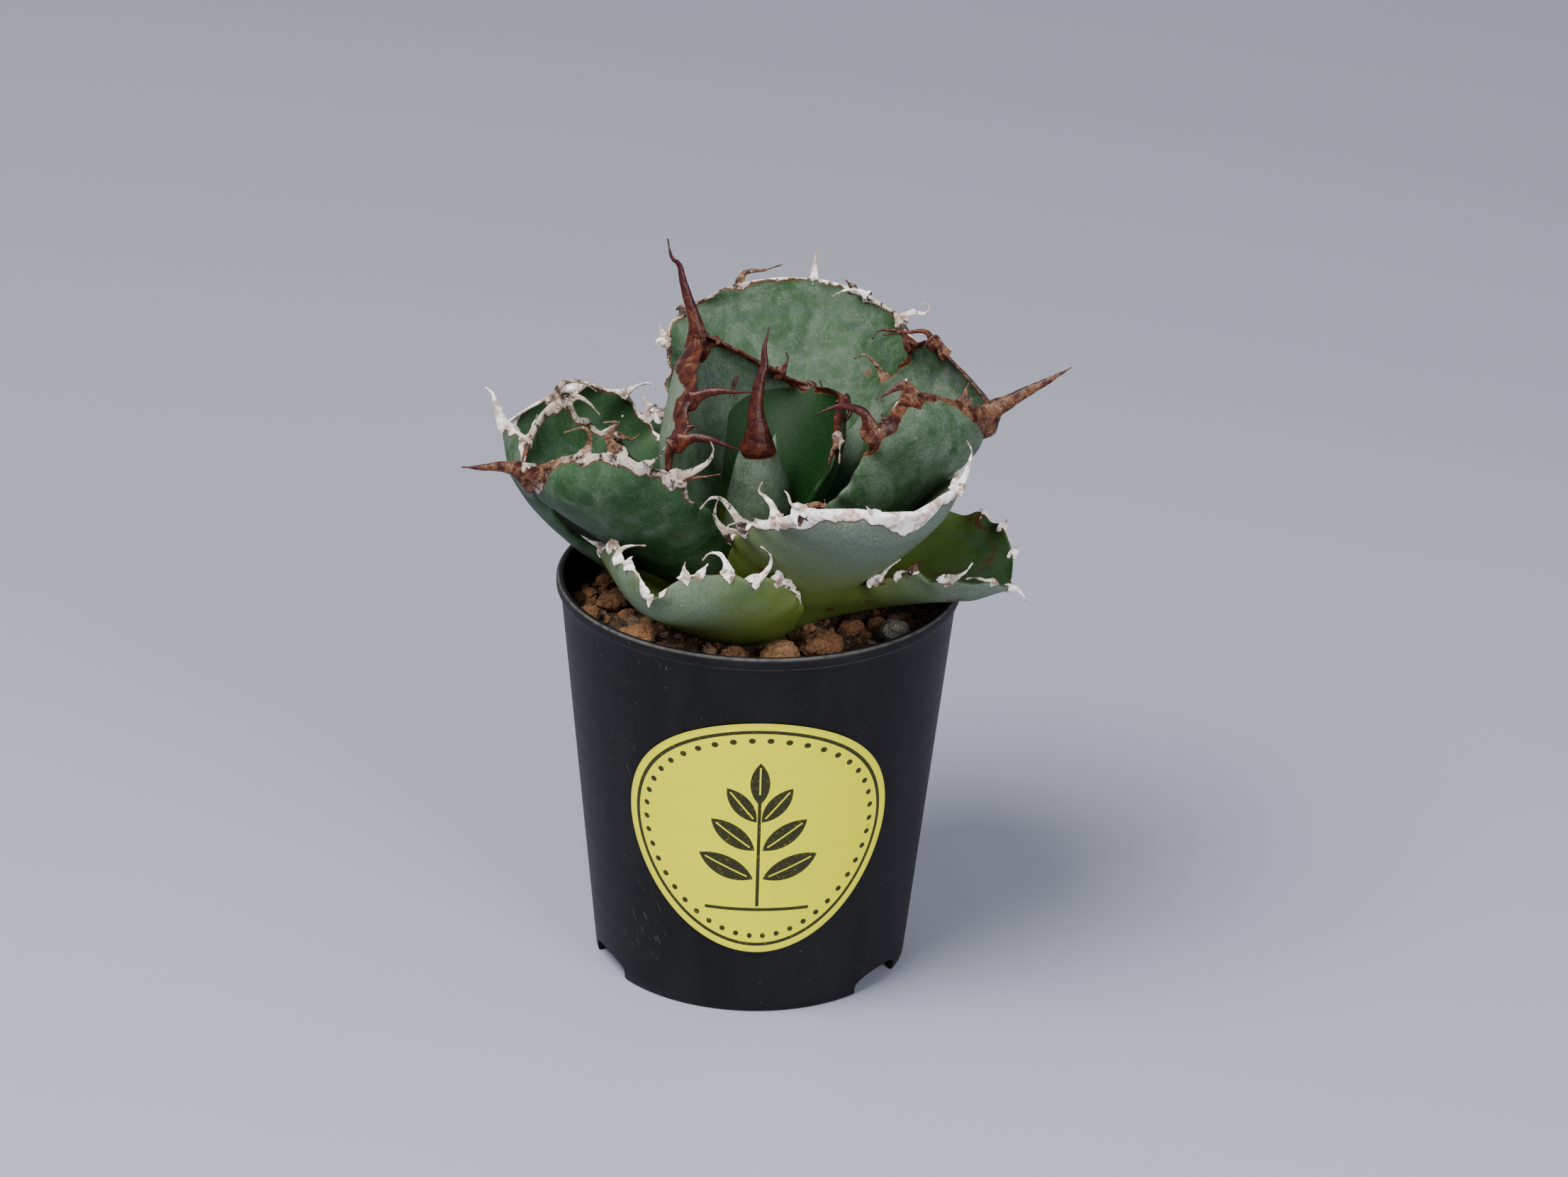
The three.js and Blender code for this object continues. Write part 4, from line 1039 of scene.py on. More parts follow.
def label_grid():
    """Shares, turns, arcs and heights of the label's points, from its middle outwards."""
    shares = np.concatenate([[0.004], np.linspace(0.04, 0.985, LABEL_RINGS - 2), [1.0]])
    turns = np.arange(LABEL_POINTS) * 2 * math.pi / LABEL_POINTS
    share, turn = np.meshgrid(shares, turns, indexing="ij")
    power = 2 / LABEL_SQUARENESS
    across = np.sign(np.cos(turn)) * np.abs(np.cos(turn)) ** power
    along = np.sign(np.sin(turn)) * np.abs(np.sin(turn)) ** power
    height = share * LABEL_HALF[1] * along
    arc = share * LABEL_HALF[0] * across * (1 + LABEL_EGG * along)
    return share, turn / (2 * math.pi), arc, height


class AGAVE_OT_label(bpy.types.Operator):
    """Build the sticker on the pot's wall"""

    bl_idname = "agave.label"
    bl_label = "Label Sticker"

    def execute(self, context):
        share, turn, arc, height = label_grid()
        z = LABEL_MIDDLE + height
        angle = math.radians(LABEL_AZIMUTH) + arc / wall_radius(z)
        skins = []
        for lift in LABEL_LIFT:
            radius = wall_radius(z) + lift
            skins.append(np.stack([radius * np.cos(angle), radius * np.sin(angle), z], -1))
        points = np.concatenate([skins[0].reshape(-1, 3), skins[1][::-1].reshape(-1, 3)])
        mesh = new_mesh("label_disc", points, ring_faces(2 * LABEL_RINGS, LABEL_POINTS))

        def both(values):
            return np.concatenate([values.ravel(), values[::-1].ravel()])

        set_attribute(mesh, "share", both(share))
        set_attribute(mesh, "turn", both(turn))
        corners = np.zeros(len(mesh.loops), np.int32)
        mesh.loops.foreach_get("vertex_index", corners)
        print_map = np.stack([both(arc), both(height)], -1)[corners]
        mesh.uv_layers.new(name="print").data.foreach_set("uv", print_map.ravel())
        mesh.set_sharp_from_angle(angle=math.radians(50))
        film = new_material(label_print)
        new_piece("label_disc", mesh, film, ["label_sticker"])
        return {"FINISHED"}


# ---- soil --------------------------------------------------------------------------------


class AGAVE_PG_soil(bpy.types.PropertyGroup):
    crumbs: count_setting("Crumbs", "Density of the fine crumbs, per square centimetre of soil", 42, 0, 200)
    grit: count_setting("Grit", "Density of the small stones, per square centimetre of soil", 13, 0, 60)
    pebbles: count_setting(
        "Pebbles", "Density of the larger stones, per square centimetre of soil", 3, 0, 10
    )
    seed: count_setting("Seed", "Seed of the strewn crumbs, grit and pebbles", 4)


def soil_height(radius):
    mouth = wall_radius(SOIL_TOP) - WALL
    return SOIL_TOP + SOIL_CROWN * (1 - (radius / mouth) ** 2)


def soil_bank(radius, edge):
    """How much higher the soil lies towards the wall."""
    high, wide = SOIL_BANK
    return high * smooth(radius, edge - wide, edge)


def soil_body():
    """The soil block with an uneven top."""
    floor = FLOOR_HIGH + 0.3
    edge = wall_radius(SOIL_TOP) - WALL - 0.25
    profile = [(PINHOLE, floor), (wall_radius(floor) - WALL - 0.4, floor)]
    profile += [(radius, soil_height(radius)) for radius in np.linspace(edge, PINHOLE, SOIL_RINGS)]
    points, faces = revolved(profile, SOIL_SIDES)
    radius = np.hypot(points[:, 0], points[:, 1])
    top = points[:, 2] > SOIL_TOP - 1
    lumps = rough_values(points[top], 3.2, 1) * 0.5 + rough_values(points[top], 1.1, 2) * 0.28
    bank = soil_bank(radius[top], edge)
    points[top, 2] += lumps * smooth(edge - radius[top], 0, 0.6) + bank
    return new_mesh("soil_surface", points, faces)


def scatter_tree(name, divisions):
    """Geometry Nodes: rough stones strewn over an upward surface, realized with a tone each."""
    group = bpy.data.node_groups.new(name, "GeometryNodeTree")
    inputs = {
        "Geometry": "NodeSocketGeometry",
        "Density": "NodeSocketFloat",
        "Smallest": "NodeSocketFloat",
        "Largest": "NodeSocketFloat",
        "Roughness": "NodeSocketFloat",
        "Seed": "NodeSocketInt",
        "Material": "NodeSocketMaterial",
    }
    for label, kind in inputs.items():
        group.interface.new_socket(label, in_out="INPUT", socket_type=kind)
    group.interface.new_socket("Geometry", in_out="OUTPUT", socket_type="NodeSocketGeometry")
    tree = Tree(group)
    given = tree.node("NodeGroupInput").outputs
    seed, smallest, largest = (Number(tree, given[key]) for key in ("Seed", "Smallest", "Largest"))
    points = tree.node(
        "GeometryNodeDistributePointsOnFaces",
        sockets={"Mesh": given["Geometry"], "Density": given["Density"], "Seed": given["Seed"]},
    )
    stone = tree.node(
        "GeometryNodeMeshIcoSphere", sockets={"Radius": 1.0, "Subdivisions": divisions}
    )

    def random_number(low, high, shift):
        sockets = {2: low, 3: high, "Seed": seed + shift}
        return Number(tree, tree.node("FunctionNodeRandomValue", sockets=sockets).outputs[1])

    small = random_number(0.0, 1.0, 1)
    size = smallest + small * small * small * (largest - smallest)
    stretches = [(0.8, 1.25), (0.75, 1.1), (0.55, 0.9)]
    axes = [size * random_number(*span, shift) for shift, span in enumerate(stretches, 2)]
    turn = tree.node(
        "FunctionNodeRandomValue",
        {"data_type": "FLOAT_VECTOR"},
        {0: (-0.5, -0.5, 0.0), 1: (0.5, 0.5, 6.28), "Seed": seed + 5},
    )
    placed = tree.node(
        "GeometryNodeInstanceOnPoints",
        sockets={
            "Points": points.outputs["Points"],
            "Instance": stone.outputs["Mesh"],
            "Rotation": turn.outputs[0],
            "Scale": tree.joined(*axes),
        },
    )
    toned = tree.node(
        "GeometryNodeStoreNamedAttribute",
        {"domain": "INSTANCE"},
        {"Geometry": placed.outputs[0], "Name": "tone", "Value": random_number(0.0, 1.0, 6)},
    )
    realized = tree.node("GeometryNodeRealizeInstances", sockets={0: toned.outputs[0]})
    here = tree.node("GeometryNodeInputPosition").outputs[0]
    dents = tree.node(
        "ShaderNodeTexNoise",
        sockets={"Vector": here, "Scale": DENTS_PER_METRE, "Detail": 2.0},
    )
    push = tree.node(
        "ShaderNodeVectorMath",
        {"operation": "SUBTRACT"},
        {0: dents.outputs["Color"], 1: (0.5, 0.5, 0.5)},
    )
    reach = tree.node(
        "ShaderNodeVectorMath",
        {"operation": "SCALE"},
        {0: push.outputs[0], "Scale": given["Roughness"]},
    )
    moved = tree.node(
        "GeometryNodeSetPosition",
        sockets={"Geometry": realized.outputs[0], "Offset": reach.outputs[0]},
    )
    painted = tree.node(
        "GeometryNodeSetMaterial",
        sockets={"Geometry": moved.outputs[0], "Material": given["Material"]},
    )
    tree.node("NodeGroupOutput", sockets={0: painted.outputs[0]})
    return group


def scattered(name, surface, inputs, divisions):
    """A plain mesh of stones that Geometry Nodes strew over a copy of the surface."""
    group = scatter_tree(name + "_nodes", divisions)
    holder = linked(name, surface.copy())
    modifier = holder.modifiers.new("scatter", "NODES")
    modifier.node_group = group
    for item in group.interface.items_tree:
        if item.in_out == "INPUT" and item.name in inputs:
            modifier[item.identifier] = inputs[item.name]
    made = applied(holder)
    made.name = name
    return made


def open_soil():
    """A ring of the soil's top, as the surface that stones are strewn on."""
    edge = wall_radius(SOIL_TOP) - WALL - 1.0
    sides = OPEN_SOIL_SIDES
    points, faces = [], []
    for radius in np.linspace(OPEN_SOIL_MIDDLE, edge, OPEN_SOIL_RINGS):
        height = soil_height(radius) + soil_bank(radius, edge)
        points += [heading(i * 360 / sides) * radius + UP * height for i in range(sides)]
    for start in range(0, (OPEN_SOIL_RINGS - 1) * sides, sides):
        for j in range(sides):
            here, beside = start + j, start + (j + 1) % sides
            faces.append((here, here + sides, beside + sides, beside))
    return new_mesh("open_soil", points, faces)


class AGAVE_OT_soil(bpy.types.Operator):
    """Build the soil with its crumbs, grit and pebbles"""

    bl_idname = "agave.soil"
    bl_label = "Soil"

    def execute(self, context):
        look = context.scene.agave_soil
        stone = granule_material()
        soil = new_material(soil_mix)
        new_piece("soil_surface", soil_body(), soil, ["soil_bed"])
        surface = open_soil()
        for name, (setting, smallest, largest, rough, shift, divisions) in STREWN.items():
            inputs = {
                "Density": float(getattr(look, setting) * SQUARE_CENTIMETRES),
                "Smallest": smallest * MM,
                "Largest": largest * MM,
                "Roughness": rough * MM,
                "Seed": look.seed + shift,
                "Material": stone,
            }
            new_piece(name, scattered(name, surface, inputs, divisions), stone, [])
        bpy.data.meshes.remove(surface)
        return {"FINISHED"}


def granule_material():
    """The granules' material, which is made on first use."""
    return bpy.data.materials.get(granule_stone.__name__) or new_material(granule_stone)


def granule_mesh(name, node, order):
    """A porous lump that fills the box of its CAD node."""
    low, high = (np.array(corner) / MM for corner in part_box(node))
    ball = bpy.data.meshes.new(name + "_ball")
    rough = bmesh.new()
    bmesh.ops.create_icosphere(rough, subdivisions=GRANULE_DIVISIONS, radius=1.0)
    rough.to_mesh(ball)
    rough.free()
    points, faces = vertex_vectors(ball, "co"), vertex_faces(ball)
    bpy.data.meshes.remove(ball)
    half = (high - low) / 2
    size = half.max()
    form = rough_values(points, 0.7, order)
    dents = rough_values(points, 0.3, order + 40)
    pores = rough_values(points, 0.12, order + 80)
    chips = np.minimum(0, rough_values(points, 0.5, order + 60))
    reach = 0.96 + form * 0.2 + dents * 0.1 + chips * 0.12
    reach = reach + pores * 0.035 - np.clip(pores - 0.1, 0, 1) * 0.2
    points = points * reach[:, None] * half * 1.04 + (low + high) / 2
    mesh = new_mesh(name, points, faces)
    tone = PUMICE_TONE if node == PUMICE else GRANULE_TONES[order % len(GRANULE_TONES)]
    set_attribute(mesh, "tone", tone + rough_values(points, size, order + 7) * 0.06)
    return mesh


class AGAVE_OT_granules(bpy.types.Operator):
    """Build the large granules that lie on the soil"""

    bl_idname = "agave.granules"
    bl_label = "Granules"

    def execute(self, context):
        stone = granule_material()
        lumps = sorted(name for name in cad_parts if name.startswith("soil_lump"))
        for order, node in enumerate(lumps):
            name = node.replace("soil_lump", "granule")
            new_piece(name, granule_mesh(name, node, order), stone, [node])
        return {"FINISHED"}


# ---- leaves ------------------------------------------------------------------------------


class AGAVE_PG_leaves(bpy.types.PropertyGroup):
    deep: colour_setting("Deep green", "Colour of the bare leaf skin", (0.012, 0.039, 0.011))
    wax: colour_setting("Wax colour", "Colour of the pale waxy bloom", (0.118, 0.142, 0.116))
    foot: colour_setting(
        "Leaf foot colour", "Yellow-green of the lower part of each leaf", (0.108, 0.152, 0.012)
    )
    bloom: share_setting("Bloom", "How thick the waxy bloom lies", 0.9)
    gnarl: bpy.props.FloatProperty(
        name="Gnarl",
        description="How rough the horn is",
        unit="LENGTH",
        default=0.00013,
        min=0,
        max=0.001,
    )
    seed: count_setting("Seed", "Seed of the small teeth and the waves of the edge", 11)


class Blade:
    """The surface of one leaf: a midrib that rises and turns, with a gutter across it."""

    def __init__(self, leaf, order):
        self.leaf = leaf
        younger = len(LEAVES) - 1 - order
        rank = (younger / (len(LEAVES) - 1)) ** 2
        azimuth = OLDEST_AZIMUTH + younger * SPIRAL_TURN + leaf["drift"]
        distance = mix(OLDEST_FOOT[0], YOUNGEST_FOOT[0], rank)
        height = mix(OLDEST_FOOT[1], YOUNGEST_FOOT[1], rank)
        t = self.t = np.linspace(0, 1, RIB_STEPS + 1)
        rise = np.radians(mix(*leaf["rise"], t))[:, None]
        flat = heading(azimuth + leaf["sweep"] * t)
        self.along = flat * np.cos(rise) + UP * np.sin(rise)
        level = np.cross(UP, flat)
        roll = math.radians(leaf["roll"])
        self.left = level * math.cos(roll) + np.cross(self.along, level) * math.sin(roll)
        self.up = np.cross(self.along, self.left)
        steps = (self.along[1:] + self.along[:-1]) / 2 * leaf["length"] / RIB_STEPS
        foot = heading(azimuth) * distance + UP * height
        self.point = np.concatenate([[foot], foot + np.cumsum(steps, 0)])
        self.draws = np.random.default_rng(bpy.context.scene.agave_leaves.seed + order)
        self.phases = self.draws.uniform(0, 2 * math.pi, 8)  # the first four are used

    def at(self, t):
        """Point, way along, way to the left edge and way up at shares of the length."""
        t = np.asarray(t, float)
        curves = (self.point, self.along, self.left, self.up)
        return [
            np.stack([np.interp(t, self.t, curve[:, i]) for i in range(3)], -1)
            for curve in curves
        ]

    def half(self, t):
        base, most = self.leaf["half"]
        widest = self.leaf["widest"]
        shoulder, point = self.leaf["taper"]
        swell = mix(base, most, np.sin(np.clip(t / widest, 0, 1) * math.pi / 2) ** BASE_FLARE)
        beyond = np.clip((t - widest) / (1 - widest), 0, 1)
        ending = np.maximum(TIP_HALF_WIDTH, most * (1 - beyond**shoulder) ** point)
        return np.where(t < widest, swell, ending)

    def fold(self, t):
        base, middle, tip = self.leaf["fold"]
        through = base * (1 - t) * (1 - 2 * t) + middle * 4 * t * (1 - t) + tip * t * (2 * t - 1)
        return np.radians(through)

    def body(self, t):
        blunt = mix(BLUNT[1], 1, smooth(1 - t, 0, BLUNT[0]))
        return mix(*self.leaf["thick"], t**MIDRIB_THINNING) * blunt

    def place(self, t, u, depth):
        point, _, left, up = self.at(t)
        fold = self.fold(t)
        radius = self.half(t) / fold
        angle = fold * u
        across = ((radius + depth) * np.sin(angle))[..., None]
        rise = (radius - (radius + depth) * np.cos(angle))[..., None]
        return point + left * across + up * rise

    def edge_ways(self, t, side):
        """Ways out from the edge, up from the inner face there, and along the leaf."""
        _, along, left, up = self.at(t)
        fold = (self.fold(t) * side)[..., None]
        side = np.asarray(side, float)[..., None]
        out = left * np.cos(fold) * side + up * np.sin(fold) * side
        face = up * np.cos(fold) - left * np.sin(fold)
        return out, face, along

    def lobe(self, t, side):
        """How far the edge stands out: at the teeth, and in slow waves."""
        length = self.leaf["length"]
        swell = 0.25 * np.sin(t * length * 0.9 + self.phases[0] * side)
        swell += 0.2 * np.sin(t * length * 1.45 + self.phases[1] * side)
        for edge, share, half, *_ in self.leaf["teeth"]:
            near = np.exp(-(((t - share) * length / (1.4 + half)) ** 2)) * (edge == side)
            swell = swell + near * (0.3 + 1.1 * half)
        return swell * smooth(t, 0.25, 0.5) * smooth(1 - t, 0, 0.03)

    def wave(self, t, side):
        """How far the edge waves out of the blade's surface."""
        length = self.leaf["length"]
        swell = 0.7 * np.sin(t * length * 0.47 + self.phases[2] + side)
        swell += 0.3 * np.sin(t * length * 1.05 + self.phases[3] - side)
        return swell * smooth(t, 0.3, 0.6) * smooth(1 - t, 0, 0.06)

    def waved(self, t, u, depth):
        """The blade's point with its edge lobed and waved."""
        side = np.where(u < 0, RIGHT, LEFT)
        out, face, _ = self.edge_ways(t, side)
        strength = np.abs(u)
        edge, drawn_in = self.leaf["tuck"]
        tuck = drawn_in * smooth(t, 0.2, 0.4) * smooth(1 - t, 0.12, 0.3) * (side == edge)
        lobe = (self.lobe(t, side) * strength**8 - tuck * strength**2)[..., None]
        wave = (self.wave(t, side) * strength**6)[..., None]
        return self.place(t, u, depth) + out * lobe + face * wave

    def margin(self, side, t):
        side = np.full(t.shape, side)
        return self.waved(t, side.astype(float), np.full(t.shape, EDGE_THICKNESS / 2))


def crowded_shares(count):
    return 1 - (1 - np.linspace(0, 1, count)) ** TIP_CROWDING


def blade_solid(blade):
    """The leaf's body as rings: the inner face from left to right, then the outer face back."""
    t = crowded_shares(LEAF_RINGS + 1)
    u = np.sin(np.linspace(1, -1, LEAF_COLUMNS + 1) * math.pi / 2)
    t, u = np.meshgrid(t, u, indexing="ij")
    inset = np.clip((1 - np.abs(u)) * blade.half(t) / (EDGE_THICKNESS / 2), 0, 1)
    rounding = np.sqrt(1 - (1 - inset) ** 2)
    body = np.maximum(0, blade.body(t) - EDGE_THICKNESS)
    thickness = EDGE_THICKNESS + body * (1 - np.abs(u) ** SECTION_FULLNESS)
    middle = EDGE_THICKNESS / 2
    inner = blade.waved(t, u, middle * (1 - rounding))
    outer = blade.waved(t, u, middle + (thickness - middle) * rounding)

    def ring(first, second):
        return np.concatenate([first, second[:, -2:0:-1]], 1)

    points = ring(inner, outer)
    count = points.shape[1]
    facts = {
        "span": ring(t, t).ravel(),
        "across": ring(u, u).ravel(),
        "outer": ring(np.zeros_like(t), np.ones_like(t)).ravel(),
    }
    faces = ring_faces(LEAF_RINGS + 1, count, close_ends=False)
    last = LEAF_RINGS * count
    for c in range(LEAF_COLUMNS):
        low, beside = (count - c) % count, count - c - 1
        faces.append(tuple(dict.fromkeys((c, low, beside, c + 1))))
        faces.append(tuple(last + i for i in dict.fromkeys((c + 1, beside, low, c))))
    return points.reshape(-1, 3), faces, facts


def small_teeth(blade):
    """Short seeded teeth between the drawn ones, in the same form as the table's."""
    found = []
    for _ in range(blade.leaf["fringe"]):
        side = int(blade.draws.choice([LEFT, RIGHT]))
        first = blade.leaf["start"][EDGES[side]]
        share = blade.draws.uniform(first, 0.97)
        length = blade.draws.uniform(0.8, 2.4)
        lift = blade.draws.uniform(0, 70)
        lean = blade.draws.uniform(-30, 40)
        near = [abs(share - other[1]) for other in blade.leaf["teeth"] if other[0] == side]
        if min(near, default=1) < 0.04:
            continue
        out, face, along = (way[0] for way in blade.edge_ways(np.array([share]), np.array([side])))
        middle = turned_way(out, face, along, lift * 0.4, lean) * length * 0.5
        end = middle + turned_way(out, face, along, lift + 30, lean) * length * 0.5
        age = blade.leaf["age"][EDGES[side]]
        found.append((side, share, 0.25 + 0.1 * length, age, [SEEN_WAYS @ middle, SEEN_WAYS @ end]))
    return found


def curve_through(points, count):
    """Evenly spaced points on a smooth curve through the given ones, and its length."""
    ends = [2 * points[0] - points[1], *points, 2 * points[-1] - points[-2]]
    t = np.linspace(0, 1, 14, endpoint=False)[:, None]
    fine = []
    for a, b, c, d in zip(ends, ends[1:], ends[2:], ends[3:]):
        bend = (c - a) * t + (2 * a - 5 * b + 4 * c - d) * t**2 + (3 * b - a - 3 * c + d) * t**3
        fine.append(b + bend / 2)
    fine = np.concatenate([*fine, ends[-2][None]])
    reach = np.cumsum(np.linalg.norm(np.diff(fine, axis=0, prepend=fine[:1]), axis=1))
    even = np.linspace(0, reach[-1], count)
    return np.stack([np.interp(even, reach, fine[:, i]) for i in range(3)], -1), reach[-1]


def drawn_places(path, way):
    """Offsets of a path's points. One drawn in two numbers gets its depth from its root's way."""
    drawn = np.array(path, float)
    if drawn.shape[1] == 3:
        return drawn @ SEEN_WAYS
    toward = np.clip(SEEN_WAYS[2] @ way, -HORN_LEAN, HORN_LEAN)
    reach = np.cumsum(np.linalg.norm(np.diff(drawn, axis=0, prepend=np.zeros((1, 2))), axis=1))
    share = reach / reach[-1]
    near = toward * 0.5 * reach[-1] * (share - share * share / 2)
    return np.column_stack([drawn, near]) @ SEEN_WAYS


def tube(path, sides, faces_up, wides, thins):
    """A closed tube with an elliptic section through the path's points."""
    turns = np.arange(HORN_SIDES) * 2 * math.pi / HORN_SIDES
    across = np.cos(turns)[None, :, None] * sides[:, None] * wides[:, None, None]
    through = np.sin(turns)[None, :, None] * faces_up[:, None] * thins[:, None, None]
    rings = path[:, None] + across + through
    return rings.reshape(-1, 3), ring_faces(len(path), HORN_SIDES)


def horn(points, wide_at, thin_at):
    """A curved flat horn whose broad side faces the viewer; sizes depend on share and length."""
    path, length = curve_through(points, HORN_STEPS)
    ways = unit(np.gradient(path, axis=0))
    across = unit(np.cross(SEEN_WAYS[2], ways))
    s = np.linspace(0, 1, HORN_STEPS)
    wides = np.maximum(HORN_FINEST[0], wide_at(s, s * length))
    thins = np.maximum(HORN_FINEST[1], thin_at(s, s * length))
    return path, tube(path, across, np.cross(ways, across), wides, thins)


def tooth_horn(blade, tooth):
    side, share, half, _, path = tooth
    t = np.array([share])
    out = blade.edge_ways(t, np.array([side]))[0][0]
    root = blade.margin(side, t)[0]

    def wide_at(s, reach):
        foot = np.exp(-((np.maximum(0, reach - TOOTH_ROOT) / TOOTH_FOOT) ** 2))
        return half * (1 - s) ** 0.85 + (0.2 + 0.6 * half) * foot

    def thin_at(s, _):
        return (0.26 + 0.22 * half) * (1 - s) ** 0.6

    points = [root - out * TOOTH_ROOT, root, *(root + drawn_places(path, out))]
    return horn(points, wide_at, thin_at)


def spine_horn(blade):
    half, bulb, _, path = blade.leaf["spine"]
    point, along, _, up = (curve[0] for curve in blade.at(np.array([1.0])))
    root_length = min(SPINE_ROOT, 4 * half)
    thickest = SPINE_SWELL[0] * root_length / SPINE_ROOT

    def swell(reach):
        return bulb * np.exp(-(((reach - thickest) / SPINE_SWELL[1]) ** 2))

    def wide_at(s, reach):
        return (half * (1 - s) ** 0.8 + swell(reach)) * (0.4 + 0.6 * smooth(reach, 0, SPINE_SEAT))

    def thin_at(s, reach):
        slim = 0.7 * half * (1 - s) ** 0.8 + 0.7 * swell(reach)
        return slim * (0.3 + 0.7 * smooth(reach, 0, SPINE_SEAT))

    root = point - up * SPINE_DEPTH * 0.5
    start = point - along * root_length - up * SPINE_DEPTH
    return horn([start, root, *(root + drawn_places(path, along))], wide_at, thin_at)


def band_widths(blade, side, t, margin, tip, teeth):
    """Width of the horn band along an edge, on the outer and on the inner face."""
    leaf = blade.leaf
    base, start = leaf["band"][EDGES[side]], leaf["start"][EDGES[side]]
    ripple = rough_values(margin, 2.6, 5) * 0.9 + rough_values(margin, 1.1, 6) * 0.5
    width = base * smooth(t, start - 0.05, start + 0.12) * (1 + ripple * 0.6)
    width = width + 0.3 * rough_values(margin, 5.0, 7) * smooth(t, start, start + 0.1)
    width = width - 0.6 * (1 - smooth(t, start - 0.06, start))
    if base == 0:
        width = width - 0.6
    for edge, share, half, *_ in teeth:
        if edge != side:
            continue
        root = blade.margin(side, np.array([share]))[0]
        near = np.linalg.norm(margin - root, axis=1)
        width = width + (0.4 + 0.9 * half) * np.exp(-((near / (0.8 + 1.2 * half)) ** 2))
    below = np.linalg.norm(margin - tip, axis=1)
    skirts = [reach * np.clip(1 - below / (reach * 1.5), 0, 1) for reach in leaf["skirt"]]
    return width + skirts[0], width * 0.8 + skirts[1]


def fused(parts):
    """Points, normals and faces of the one skin round closed solids that overlap."""
    raw = new_mesh("horn", *merged(parts))
    raw.transform(Matrix.Scale(1 / MM, 4))
    holder = linked("horn", raw)
    fuse = holder.modifiers.new("fuse", "REMESH")
    fuse.mode = "VOXEL"
    fuse.voxel_size = HORN_VOXEL
    ease = holder.modifiers.new("ease", "SMOOTH")
    ease.factor = 0.5
    ease.iterations = 2
    mesh = applied(holder)
    skin = vertex_vectors(mesh, "co"), vertex_vectors(mesh, "normal"), vertex_faces(mesh)
    bpy.data.meshes.remove(mesh)
    return skin


def nearest_hits(points, targets):
    """Which of the targets lies nearest to each point, and how far off it is."""
    tree = KDTree(len(targets))
    for i, target in enumerate(targets):
        tree.insert(target, i)
    tree.balance()
    hits = [tree.find(point) for point in points]
    return np.array([hit[1] for hit in hits]), np.array([hit[2] for hit in hits])


def horn_solid(blade, teeth):
    """Teeth, spine and edge bead fused into one skin, with its attributes."""
    leaf = blade.leaf
    parts, bones = [], []

    def keep(path, solid, reach, age):
        parts.append(solid)
        bones.extend((point, s, age) for point, s in zip(path, reach))

    shares = np.linspace(0, 1, HORN_STEPS)
    for tooth in teeth:
        path, solid = tooth_horn(blade, tooth)
        keep(path, solid, shares, tooth[3])
    path, solid = spine_horn(blade)
    keep(path, solid, shares * 0.85, leaf["spine"][2])
    for side, radius, start, age in zip((LEFT, RIGHT), leaf["bead"], leaf["start"], leaf["age"]):
        if radius == 0:
            continue
        t = start + (0.998 - start) * crowded_shares(BEAD_STEPS)
        path = blade.margin(side, t)
        out, face, _ = blade.edge_ways(t, np.full(t.shape, side))
        path = path + out * (0.3 * rough_values(path, 2.1, 12))[:, None]
        swell = radius * (1 + 0.28 * rough_values(path, 1.6, 8))
        swell = swell * smooth(t, start, start + 0.06) + 0.08
        keep(path, tube(path, unit(out), face, swell, swell * 0.95), t * 0, age)
    points, normals, faces = fused(parts)
    index, _ = nearest_hits(points, [point for point, _, _ in bones])
    reach, age = np.array([(s, age) for _, s, age in bones])[index].T
    gnarl = bpy.context.scene.agave_leaves.gnarl / MM
    bumps = rough_values(points, 1.1, 3) + rough_values(points, 0.45, 4) * 0.5
    points = points + normals * (bumps * gnarl * (0.3 + 0.9 * age))[:, None]
    return points, faces, reach, age


def decorated_blade(blade, teeth):
    """The blade with its horn band raised, and how deep each point lies in that band."""
    points, faces, facts = blade_solid(blade)
    t = crowded_shares(MARGIN_SAMPLES)
    edges = {side: blade.margin(side, t) for side in (LEFT, RIGHT)}
    tip = (edges[LEFT][-1] + edges[RIGHT][-1]) / 2
    widths = [band_widths(blade, side, t, edges[side], tip, teeth) for side in (LEFT, RIGHT)]
    samples = np.concatenate([edges[LEFT], edges[RIGHT]])
    on_outer = np.concatenate([widths[0][0], widths[1][0]])
    on_inner = np.concatenate([widths[0][1], widths[1][1]])
    index, distance = nearest_hits(points, samples)
    width = np.where(facts["outer"] > 0.5, on_outer[index], on_inner[index])
    rim = width - distance
    mesh = new_mesh("blade", points, faces)
    normals = vertex_vectors(mesh, "normal")
    bpy.data.meshes.remove(mesh)
    raised = 0.12 + 0.12 * blade.leaf["age"][0]
    relief = rough_values(points, 7.0, 9) * 0.22 + raised * smooth(rim, -0.1, 0.3)
    points = points + normals * relief[:, None]
    return points, faces, facts, rim


